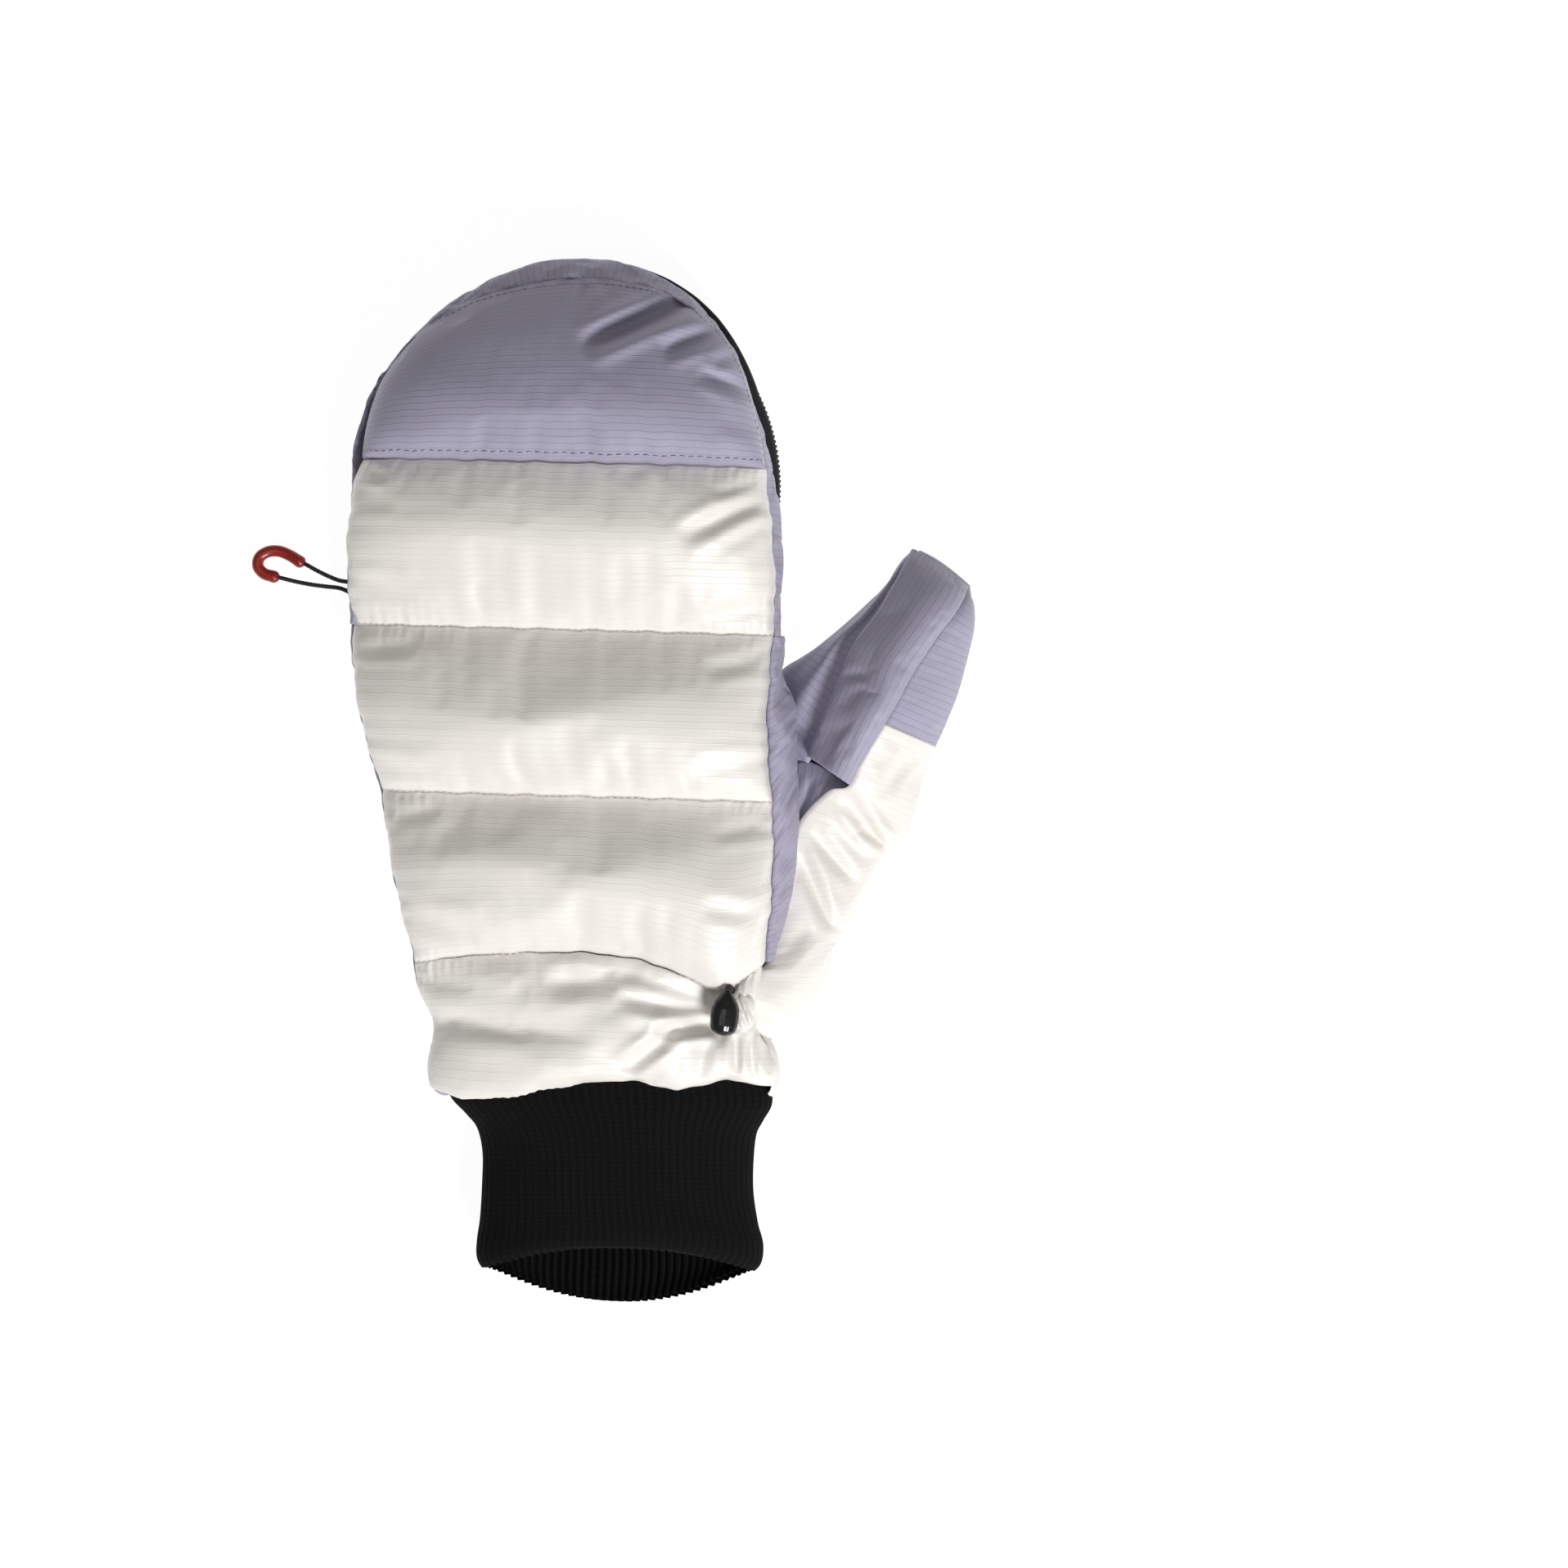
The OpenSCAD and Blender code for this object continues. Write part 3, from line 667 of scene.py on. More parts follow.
crests = backPlan["crests"]
tipSeam = archAt(49.5, crests["tip"])
foldSeam = archAt(0, crests["fold"])
middleSeam = archAt(-49.6, crests["middle"])
wristSeam = seamArch((-41.8, -101.2, 20), (62.6, -98.5, 31), crests["wrist"],
                     ([0, 0.12, 0.3, 0.5, 0.66, 0.78, 0.87, 0.92, 1],
                      [0, 2.2, 3.6, 3.8, 1.6, -3.2, -7.4, -6.0, 0]))

puff = backPlan["puff"]
rows = {"hood": 48, "knuckle": 46, "mid": 46}
hoodGrid = baffle(foldSeam, tipSeam, rows["hood"], puff["hood"], 0.26)
knuckleGrid = baffle(middleSeam, foldSeam, rows["knuckle"], puff["knuckle"], 0.50, 0.90)
midGrid = baffle(wristSeam, middleSeam, rows["mid"], puff["mid"], 0.62, 0.86)


# The wrist: one sheet from the seam over the drawcord's line down to the hem, where it rolls under.
# Each line is its left end, right end, crest, and how far it bows from its chord at shares of the width.
wristLines = [
    ((-31.0, -132.0, 17), (62.0, -129.0, 21), 34.5, ([0, 0.3, 0.6, 1], [0, -1.5, 2.0, 0])),
    ((-34.6, -137.4, 16), (65.0, -134.0, 20), 36.0,
     ([0, 0.1, 0.28, 0.48, 0.6, 0.72, 0.87, 1], [0, -2.6, -2.4, 1.8, 1.9, -0.4, 2.0, 0])),
    ((-36.2, -137.8, 16), (67.2, -134.4, 20), 39.6,
     ([0, 0.1, 0.28, 0.48, 0.6, 0.72, 0.87, 1], [0, -2.9, -2.7, 1.8, 1.9, -0.6, 2.1, 0])),
    ((-37.2, -131.5, 15), (68.2, -129.5, 20), 43.0, ([0, 0.3, 0.6, 1], [0, -1.2, 0.8, 0])),
    ((-36.2, -124.5, 15), (65.2, -123.5, 22), 44.8, ([0, 0.5, 1], [0, 0.6, 0])),
    ((-36.1, -118.0, 15), (61.5, -116.5, 28), 44.4, ([0, 0.5, 1], [0, 1.6, 0])),
    ((-40.2, -109.5, 16), (62.0, -107.5, 30), 45.2, ([0, 0.3, 0.6, 0.85, 1], [0, 2.4, 2.2, -2.4, 0])),
]
wristLines = np.array([seamArch(*line) for line in wristLines] + [wristSeam])
wristGrid = knots(wristLines.reshape(len(wristLines), -1), 84).reshape(84, columns, 3)
for k, grid in enumerate((hoodGrid, knuckleGrid, midGrid, wristGrid)):
    pucker(grid, "low", 3.3, 0.50, 3.2, 10 + k)
    pucker(grid, "high", 3.1, 0.50, 3.4, 20 + k)
    pucker(grid, "right", 7.5, 0.26, 4.0, 30 + k)
    pucker(grid, "left", 9.0, 0.26, 5.0, 40 + k)
    lumps(grid, 60 + k, 0.22, (48, 24))
pinch(hoodGrid, [(61, 41, 34, 27.5, 2.6, 2.3), (60, 46, 44, 40, 2.0, 0.8), (62, 33, 46, 26, 2.4, 0.7),
                 (-63, 46, -53, 43, 1.5, 1.0), (-64, 38, -50, 36, 2.4, 0.6), (-63, 12, -44, 9, 2.6, 0.6),
                 (62, 8, 42, 5, 2.4, 0.6), (-44, 18, 8, 12, 6.0, 0.5)])
pinch(knuckleGrid, [(62, -6, 42, -12, 2.4, 0.9), (-61, -8, -42, -6, 2.2, 0.7), (62, -38, 40, -41, 2.6, 0.8),
                    (-56, -42, -36, -44, 2.2, 0.7), (-40, -20, 10, -15, 6.0, 0.5)])
pinch(midGrid, [(63, -56, 46, -60, 2.2, 0.7), (-50, -58, -34, -55, 2.2, 0.7),
                (-45, -86, -22, -92, 3.2, 1.0), (63, -84, 44, -81, 2.6, 0.7), (-34, -75, 4, -79, 5.0, 1.0),
                (0, -62, 44, -58, 5.0, 0.5)])
pinch(wristGrid, [(51, -109.5, 20, -101.5, 2.4, 3.4), (27, -102, -2, -105.5, 3.4, 2.2),
                  (50, -113.5, 20, -107.5, 3.0, 4.6), (28, -109, -12, -106, 4.6, 2.4),
                  (50, -117.0, 30, -117.8, 2.0, 3.0), (39, -117.0, 22, -131, 2.2, 2.6),
                  (-39, -106, -6, -110, 4.0, 2.0), (-36, -117, 14, -121, 5.5, 2.6),
                  (-35, -128, -2, -131, 4.0, 1.1), (12, -124, 34, -134, 4.0, 0.9),
                  (55.5, -119, 55.8, -131, 1.5, 2.2), (59, -119, 61, -132, 1.6, 2.0),
                  (63, -120, 66, -131, 1.5, 1.6), (47, -120, 44, -133, 2.2, 1.0)])
dent(wristGrid, (43.0, -112.0), 9.0, 4.6)
dent(wristGrid, (51.5, -111.5), 8.0, 5.0)

panelPlans = {"hoodBaffle": (hoodGrid, 1.0, 0.004, 2.5), "knuckleBaffle": (knuckleGrid, 1.0, 0.004, 2.5),
              "midBaffle": (midGrid, 1.0, 0.004, 2.5), "wristBaffle": (wristGrid, 0.5, 0.008, 2)}
panels = {}
for name, (grid, pressure, gather, cap) in panelPlans.items():
    panels[name] = gridMesh(name, grid, pearl, thick=0.5)
    puffLater(panels[name], edgesPinned(grid), pressure=pressure, gather=gather, cap=cap, bend=4.0)


# Lilac tip of the hood.

tipPlan = {
    "edge": [(-62.0, 49.5, 20), (-61.2, 58, 21), (-59.2, 66.7, 23), (-56.0, 74.4, 25), (-49.0, 84.0, 27.5),
             (-40.6, 91.8, 29), (-33.5, 96.0, 30), (-25.5, 99.6, 31), (-11, 103.6, 31.5),
             (3.4, 105.4, 31.5), (15, 104.6, 32), (26.1, 102.2, 33.5), (34.5, 98.0, 33.5), (42, 92, 33.5),
             (47.6, 86.5, 33.5), (51.5, 79.5, 33.5), (54.4, 71.5, 33.5), (56.6, 63.5, 33.3), (58.2, 56, 33),
             (59.1, 49.5, 33)],
    "corners": (0.26, 0.70), "rise": 14.5, "rows": 60,
}


def tipPatch(plan):
    edge = respaced(knots(plan["edge"], 600), 600)
    first, second = (int(600 * c) for c in plan["corners"])
    left = respaced(edge[:first + 1], plan["rows"])
    right = respaced(edge[second:][::-1], plan["rows"])
    top = respaced(edge[first:second + 1], columns)
    left[0], right[0] = tipSeam[0], tipSeam[-1]
    left[-1], right[-1] = top[0], top[-1]
    grid = patch(tipSeam, top, left, right)
    t = np.linspace(0, 1, plan["rows"])[:, None]
    s = np.linspace(0, 1, columns)[None]
    grid[:, :, 2] += plan["rise"] * np.sin(np.pi * s) ** 0.45 * np.sin(np.pi * t ** 0.58) ** 0.95
    return grid, edge


tipCloth, tipEdge = tipPatch(tipPlan)
pucker(tipCloth, "low", 4.2, 0.28, 3.0, 51)
pucker(tipCloth, "high", 6.0, 0.40, 4.5, 52)
pucker(tipCloth, "right", 5.5, 0.45, 5.0, 53)
lumps(tipCloth, 66, 0.3, (34, 26))
pinch(tipCloth, [(38, 101, 3, 83, 2.9, 5.4), (46, 90.5, 27, 82.5, 2.3, 3.0), (56.5, 71, 38, 77, 2.1, 2.6),
                 (50, 83, 42, 79, 1.6, 0.8), (57, 60, 44, 63, 2.4, 0.7), (4, 104, 2, 96, 2.0, 0.9),
                 (-38, 56, 20, 60, 5.0, 0.5)])
panels["hoodTipPanel"] = gridMesh("hoodTipPanel", tipCloth, lilac, thick=0.5)
puffLater(panels["hoodTipPanel"], edgesPinned(tipCloth), pressure=0.6, gather=0.003, cap=2, bend=4.0)


# Gusset round the hood, from the panels' edge down to the zip.

zipPlan = {"centre": (0.0, 43.6), "radius": 63.2, "from": -28.5, "to": 208.5, "endY": 13.4,
           "palmTeeth": 12.8, "hoodTeeth": 15.2, "pitch": 1.5, "wire": 0.40, "reach": 0.75}
zipCentre = np.array(zipPlan["centre"])


def ringLine(radius, z, angles):
    # points on a level circle about the zip's centre, at angles in degrees
    a = np.radians(angles)
    return np.stack([zipCentre[0] + radius * np.cos(a), zipCentre[1] + radius * np.sin(a),
                     np.full(a.shape, float(z))], axis=1)


gussetPlan = {
    # angle about the zip's centre, the outermost reach of the gusset there and of the tape under it
    "angles": [-28.5, -10, 0, 5.5, 14, 27, 42, 50, 58, 66, 76, 87, 100, 114, 130, 145, 159, 174, 190, 208.5],
    "outer": [72.5, 65.3, 62.6, 61.8, 61.1, 61.5, 64.4, 66.0, 67.2, 68.0, 68.3, 68.0, 67.0, 65.6, 64.5,
              64.1, 64.0, 63.6, 64.2, 72.0],
    "tape": [63.2, 63.2, 63.2, 63.0, 62.9, 63.1, 65.9, 67.3, 68.2, 68.6, 68.4, 67.4, 66.0, 64.6, 63.2, 62.6,
             62.2, 62.0, 62.4, 63.0],
}


def hoodEdgeLine(count):
    # the panels' lower edge, from the fold line on the thumb side round the tip to the fold's other end
    right = sideLine(backPlan["rightEdge"], foldSeam[-1], tipSeam[-1], 120)
    left = sideLine(backPlan["leftEdge"], foldSeam[0], tipSeam[0], 120)
    whole = np.concatenate([right[:-1], tipEdge[::-1], left[::-1][1:]])
    angles = np.degrees(np.unwrap(np.arctan2(whole[:, 1] - zipPlan["centre"][1],
                                             whole[:, 0] - zipPlan["centre"][0])))
    wanted = np.linspace(angles[0], angles[-1], count)
    return np.stack([np.interp(wanted, angles, whole[:, k]) for k in range(3)], axis=1), wanted


gussetColumns = 320
hoodEdge, hoodAngles = hoodEdgeLine(gussetColumns)
onZip = np.clip(hoodAngles, zipPlan["from"], zipPlan["to"])
gussetReach = np.interp(onZip, gussetPlan["angles"], gussetPlan["outer"])
tapeReach = np.interp(onZip, gussetPlan["angles"], gussetPlan["tape"])
gussetLow = ringLine(1.0, 19.0, hoodAngles)
gussetRim = np.minimum(gussetReach, tapeReach) - 1.0
gussetLow[:, :2] = zipCentre + gussetRim[:, None] * (gussetLow[:, :2] - zipCentre)
endDrop = np.clip(hoodEdge[:, 1] / zipPlan["endY"], 0, 1)
pastEnd = hoodEdge[:, 1] < zipPlan["endY"]
lowEndX = np.where(hoodEdge[:, 0] > 0, 57.5, -57.5)
lowEndX = endDrop * np.sign(hoodEdge[:, 0]) * 57.0 + (1 - endDrop) * lowEndX
gussetLow[:, 0] = np.where(pastEnd, lowEndX, gussetLow[:, 0])
gussetLow[:, 1] = np.where(pastEnd, hoodEdge[:, 1], gussetLow[:, 1])
gussetLow[:, 2] = np.where(pastEnd, 3.0 + 15.5 * endDrop, gussetLow[:, 2])
away = hoodEdge[:, :2] - zipCentre
away /= np.linalg.norm(away, axis=1, keepdims=True)
gussetMiddle = np.concatenate([zipCentre + gussetReach[:, None] * away, np.full((gussetColumns, 1), 25.5)],
                              axis=1)
sideX = np.where(hoodEdge[:, 0] > 0, 64.8, -62.6)
nearFold = np.clip(1 - hoodEdge[:, 1] / 26, 0, 1) ** 0.6
gussetMiddle[:, 0] = nearFold * sideX + (1 - nearFold) * gussetMiddle[:, 0]
gussetMiddle[:, 1] = np.where(hoodEdge[:, 1] < 30, hoodEdge[:, 1], gussetMiddle[:, 1])
gussetCloth = panelThrough(gussetLow, gussetMiddle, hoodEdge, 20)
pucker(gussetCloth.transpose(1, 0, 2), "high", 11, 1.1, 5.0, 61)
gusset = gridMesh("hoodGusset", gussetCloth, lilac, gridUv(gussetCloth), flip=True, thick=0.5)
puffLater(gusset, edgesPinned(gussetCloth), pressure=0.6, gather=0.02, cap=2)


# Sides of the hand.

thumbSide = {
    "middle": [(65.4, 0, 22), (65.6, -12, 23), (70.6, -24, 25), (70.0, -37, 25), (71.4, -52, 25),
               (69.4, -76, 24), (64.6, -97, 26)],
    "low": [(57.5, 0, 3), (58, -12, 3), (60.5, -24, 3), (62, -41, 3), (62.5, -58, 3), (60.5, -79, 3),
            (58, -97, 3)],
}


def sewnEdge(points, fromY, toY, z, count):
    # the same seam line as the back panels' sides
    y = np.linspace(fromY, toY, count)
    return np.stack([edgeX(points, y), y, np.interp(y, z[0], z[1])], axis=1)


sideTop = sewnEdge(backPlan["rightEdge"], 0, -97.5, ([-98.5, -49.6, 0], [31, 33, 33]), 90)
sideCloth = panelThrough(sideTop, knots(thumbSide["middle"], 90), knots(thumbSide["low"], 90), 24, 0.7)
sideRipple = 1.08 * np.sin(sideCloth[:, :, 1] / 3.1 + 0.8) * np.exp(-((sideCloth[:, :, 1] + 27) / 12) ** 2)
sideCloth[:, :, 0] += sideRipple * np.linspace(0, 1, 24)[None]
thumbSideGusset = gridMesh("thumbSideGusset", sideCloth, lilac, thick=0.5)
puffLater(thumbSideGusset, edgesPinned(sideCloth), pressure=0.8, gather=0.03, cap=3)

littleSide = {
    "middle": [(-62.6, 0, 11), (-59.5, -25, 11), (-52.6, -48, 11), (-47.8, -72, 11), (-42.4, -92, 11),
               (-38.0, -110, 11), (-32.8, -120.5, 10)],
    "low": [(-57.5, 0, 3), (-55.5, -25, 3), (-49.5, -48, 3), (-44, -72, 3), (-38.5, -92, 3),
            (-34.5, -110, 3), (-30, -120.5, 3)],
}
littleTop = sewnEdge(backPlan["leftEdge"], 0, -120.5, ([-121, -101, 0], [18, 20, 20]), 90)
littleCloth = panelThrough(knots(littleSide["low"], 90), knots(littleSide["middle"], 90), littleTop, 18, 0.7)
pinkyGusset = gridMesh("pinkyGusset", littleCloth, lilac, thick=0.5)
puffLater(pinkyGusset, edgesPinned(littleCloth), pressure=0.8, gather=0.03, cap=2.5)


# Palm.

palmPlan = {
    "tipRadius": 57.5, "seamZ": 3.0, "rows": 110, "columns": 70, "edgeZ": 2.6, "lowZ": 0.5,
    "left": [(-30, -120.5, 3), (-34.5, -110, 3), (-38.5, -92, 3), (-44, -72, 3), (-49.5, -48, 3),
             (-55.5, -25, 3), (-57.5, 0, 3), (-57.3, 14, 3), (-57.4, 30, 3)],
    "right": [(58, -120.5, 3), (58, -97, 3), (60.5, -79, 3), (62.5, -58, 3), (62, -41, 3), (60.5, -24, 3),
              (58, -12, 3), (57.5, 0, 3), (57.3, 14, 3), (57.4, 30, 3)],
}


def palmPatch(plan):
    # Coons patch over the palm's outline; the middle lies flat and the rim turns up to the side panels
    sides = []
    for name, (first, last) in (("left", (188, 128)), ("right", (-8, 52))):
        bend = ringLine(plan["tipRadius"], plan["seamZ"], np.linspace(first, last, 80))
        sides.append(respaced(np.concatenate([knots(plan[name], 120), bend]), plan["rows"]))
    left, right = sides
    high = respaced(ringLine(plan["tipRadius"], plan["seamZ"], np.linspace(128, 52, 80)), plan["columns"])
    low = np.linspace(left[0], right[0], plan["columns"])
    left[-1], right[-1] = high[0], high[-1]
    grid = patch(low, high, left, right)
    t = np.linspace(0, 1, plan["rows"])[:, None]
    s = np.linspace(0, 1, plan["columns"])[None]
    inside = np.clip(np.minimum(np.minimum(s, 1 - s) * 16, np.minimum(t, 1 - t) * 22), 0, 1)
    grid[:, :, 2] = plan["edgeZ"] + (plan["lowZ"] - plan["edgeZ"]) * np.sin(inside * np.pi / 2)
    return grid


palmCloth = palmPatch(palmPlan)
palmPanel = gridMesh("palmPanel", palmCloth, lilac, flip=True, thick=0.6)
palmLineGrid = palmCloth.copy()
palmLineGrid[:, :, :2] *= 0.985
palmLineGrid[:, :, 2] = 8.0
palmLining = gridMesh("palmLining", palmLineGrid, liningCloth, thick=0.6, levels=0)


# Zip: two tapes, two coils, end stops.

zipAngles = np.linspace(zipPlan["from"], zipPlan["to"], 300)
palmRim = ringLine(palmPlan["tipRadius"], palmPlan["seamZ"], zipAngles)
lowSpot = palmRim[:, 1] < 30
palmRim[:, 0] = np.where(lowSpot, np.sign(palmRim[:, 0]) * 57.3, palmRim[:, 0])
teethRim = ringLine(62.2, 12.6, zipAngles)
palmTapeCloth = panelThrough(palmRim, (palmRim + teethRim) / 2 + upBy(-0.6), teethRim, 8)
zipTapePalm = gridMesh("zipTapePalm", palmTapeCloth, tapeCloth, thick=0.5, levels=1)
endWall = {
    "right": ([(57.5, 0, 3), (57.5, 5, 3), (57.3, 13.4, 3)],
              [(57.5, 0, 3.2), (57.4, 5, 8.6), (55.6, 13.4, 12.6)]),
    "left": ([(-57.3, 13.4, 3), (-57.5, 5, 3), (-57.5, 0, 3)],
             [(-55.6, 13.4, 12.6), (-57.4, 5, 8.6), (-57.5, 0, 3.2)]),
}
walls = []
for side, (low, high) in endWall.items():
    low, high = knots(low, 12), knots(high, 12)
    wallCloth = panelThrough(low, (low + high) / 2, high, 6)
    walls.append(gridMesh("tapeEnd" + side, wallCloth, tapeCloth, thick=0.5, levels=0))
tapeOut = np.interp(hoodAngles, gussetPlan["angles"], gussetPlan["tape"])
onArc = ~pastEnd
arcAngles = hoodAngles[onArc]
tapeTop = gussetLow[onArc]
tapeLow = ringLine(62.2, 15.4, np.clip(arcAngles, zipPlan["from"], zipPlan["to"]))
tapeMiddle = ringLine(1.0, 17.6, arcAngles)
tapeMiddle[:, :2] = zipCentre + tapeOut[onArc][:, None] * (tapeMiddle[:, :2] - zipCentre)
hoodTapeCloth = panelThrough(tapeLow, tapeMiddle, tapeTop, 10, 0.9)
zipTapeHood = gridMesh("zipTapeHood", hoodTapeCloth, tapeCloth, thick=0.5)


def coil(name, z, plan, hand):
    # a helix along the zip's arc: radius + reach cos, height + rise sin, one turn for each pitch of arc
    arc = math.radians(plan["to"] - plan["from"] - 6) * plan["radius"]
    turns = int(arc / plan["pitch"])
    u = np.linspace(0, turns, turns * 9)
    a = np.radians(plan["from"] + 3) + u / turns * math.radians(plan["to"] - plan["from"] - 6)
    r = plan["radius"] + plan["reach"] * np.cos(2 * np.pi * u)
    height = z + 0.55 * hand * np.sin(2 * np.pi * u)
    path = np.stack([plan["centre"][0] + r * np.cos(a), plan["centre"][1] + r * np.sin(a), height], axis=1)
    return tubePiece(name, path, plan["wire"], coilPlastic, sides=5)


coilPlan = dict(zipPlan, radius=62.9)
teethPalm = coil("zipTeethPalm", zipPlan["palmTeeth"], coilPlan, 1)
teethHood = coil("zipTeethHood", zipPlan["hoodTeeth"], coilPlan, -1)
stops = []
for k, angle in enumerate((zipPlan["from"] + 1.6, zipPlan["to"] - 1.6)):
    spot = ringLine(zipPlan["radius"], 13.9, np.array([angle]))[0]
    block = superBlock(spot, (1.8, 1.4, 2.4), 0.5, 0.5, 10, 16)
    stops.append(gridMesh("stop", block, coilPlastic, closed=True, levels=0))
    weld(stops[-1])
zipStops = joinPieces("zipEndStops", stops)
print("zip made")


# Thumb.

thumbPlan = {
    "crease": [(64, -56, 11), (70, -46, 15), (75.5, -36.2, 20), (80.7, -22, 22.5), (84.2, -12.4, 22.5),
               (88.1, -2, 22), (94.9, 7.5, 21), (100.2, 17, 18), (103.6, 23.6, 13), (105.6, 27.0, 7)],
    "innerSide": [(53, -44, 7), (57, -33, 7), (60, -21, 7), (67.0, -11.0, 7), (72.6, -6.0, 7),
                  (78.0, -1.4, 7), (87.2, 7.0, 7), (95.6, 16.4, 7), (101.2, 23.8, 7), (105.2, 27.2, 7)],
    "innerLow": [(54, -48, 4), (60, -38, 4), (64, -26, 4), (70, -15, 4), (76, -10, 4), (81.5, -5.5, 4),
                 (90.2, 3.0, 4), (98.2, 12.6, 4), (103, 20.5, 5), (106.0, 24.4, 8)],
    "stripCrease": [(75.5, -36.2, 20), (80.7, -22, 22.5), (84.2, -12.4, 22.5), (88.1, -2, 22),
                    (94.9, 7.5, 21), (100.2, 17, 18), (103.6, 23.6, 13), (105.6, 27.0, 7)],
    "stripSeam": [(87, -43.8, 31), (96.8, -25.2, 34), (101, -17.5, 34), (104.7, -10, 33), (111.9, 1.4, 30),
                  (117, 8.6, 26), (119.8, 13.5, 19), (121.3, 17.3, 8)],
    "patchSeam": [(96.8, -25.2, 34), (101, -17.5, 34), (104.7, -10, 33), (111.9, 1.4, 30), (117, 8.6, 26),
                  (119.8, 13.5, 19), (121.3, 17.3, 8)],
    "patchSide": [(111.6, -31, 18), (115, -22.5, 18), (118.0, -14, 18), (121.2, -2, 17.5), (122.8, 5, 17),
                  (122.9, 11, 14), (121.8, 15.2, 8)],
    "patchLow": [(107, -29, 4), (110.8, -21, 4), (114, -13, 4), (117.4, -1, 4), (119.2, 5.5, 5),
                 (120.2, 10.5, 6), (120.6, 14.6, 9)],
    "backSeam": [(96.8, -25.2, 34), (91, -35, 33), (87, -43.8, 31), (80.5, -46, 27), (71.4, -57.4, 24),
                 (69.4, -73.9, 22), (67.0, -88, 23), (63.2, -98, 29), (58.5, -102, 34.5),
                 (54.8, -106.5, 39.5), (54.5, -113, 40), (50, -117, 33)],
    "backSide": [(111.6, -31, 18), (107.9, -39.5, 18), (105.4, -50, 18), (101.8, -58.4, 18),
                 (96.2, -61.8, 18), (93.6, -69, 18), (86.0, -85.5, 18), (82.5, -93, 18), (79.7, -101, 18),
                 (74.8, -112, 18), (67.5, -120.4, 18), (56, -118.5, 18)],
    "backLow": [(107, -29, 4), (103.5, -37, 4), (100.5, -48, 4), (96.5, -56, 4), (92.3, -61, 4),
                (89.5, -67, 4), (81.8, -84, 4), (78.2, -91.5, 4), (75.3, -99.5, 4), (70.5, -109.5, 4),
                (63.5, -117, 5), (54, -116, 8)],
}


def thumbPanel(name, first, middle, last, rowCount, columnCount, material, crest=0, power=0.7, folds=(),
               flip=False, press=1.0, cap=2.5):
    a, b = knots(thumbPlan[first], rowCount), knots(thumbPlan[last], rowCount)
    m = knots(thumbPlan[middle], rowCount) if middle else (a + b) / 2
    m = m + upBy(crest)
    grid = panelThrough(a, m, b, columnCount, power)
    if first == "stripCrease":
        # the strip hangs over the crease: its first few columns swell back past it
        back = a - b
        back /= np.linalg.norm(back, axis=1, keepdims=True)
        for k, out in enumerate((1.5, 2.7, 3.3, 3.3, 2.8, 2.1, 1.3, 0.6)):
            grid[:, k + 1] += back * out
    if last == "crease":
        # just under the strip the inner side rises into a soft roll, then dives to the seam
        f = np.linspace(0, 1, columnCount)[None]
        r = np.linspace(0, 1, rowCount)[:, None]
        grid[:, :, 2] += 4.6 * np.exp(-((f - 0.83) / 0.085) ** 2) * np.sin(np.pi * r) ** 0.6 * (f < 1)
    pucker(grid, "left", 5.0, 0.3, 3.0, len(name))
    pucker(grid, "right", 5.5, 0.3, 3.0, len(name) + 7)
    pinch(grid, folds)
    piece = gridMesh(name, grid, material, gridUv(grid, first == "stripCrease"), flip=flip, thick=0.5)
    puffLater(piece, edgesPinned(grid), pressure=press, gather=0.006, cap=cap, bend=3.0)
    return piece, grid


thumbPalm, thumbPalmGrid = thumbPanel("thumbPalmPanel", "innerLow", "innerSide", "crease", 80, 34, lilac,
                                      power=0.62,
                                      folds=[(72, -30, 64, -22, 2.0, 1.4), (90, 3, 96, 12, 1.6, 0.6)],
                                      flip=True, cap=0.8)
stripCrest = 8.2
strip, stripGrid = thumbPanel("thumbStrip", "stripCrease", None, "stripSeam", 74, 30, lilac,
                              crest=stripCrest, power=0.55,
                              folds=[(84, -12, 91, -10, 1.5, 0.6)], flip=True, cap=0.8)
tipPatchPiece, patchGrid = thumbPanel("thumbTipPatch", "patchSeam", "patchSide", "patchLow", 60, 28, lilac,
                                      power=0.62, flip=True)
thumbBack, thumbBackGrid = thumbPanel(
    "thumbBackPanel", "backSeam", "backSide", "backLow", 120, 46, pearl, power=0.55, press=1.6, cap=4,
    folds=[(86, -48, 98, -62, 2.0, 3.0), (99, -62, 91, -56, 1.6, 2.4), (71, -60, 83, -88, 2.0, 2.8),
           (76, -58, 90, -74, 2.0, 1.4), (104, -34, 96, -48, 1.8, 0.9), (66, -100, 76, -86, 2.4, 0.8),
           (70, -119, 60, -110, 2.0, 1.2), (64, -120, 56, -106, 1.8, 1.0)])
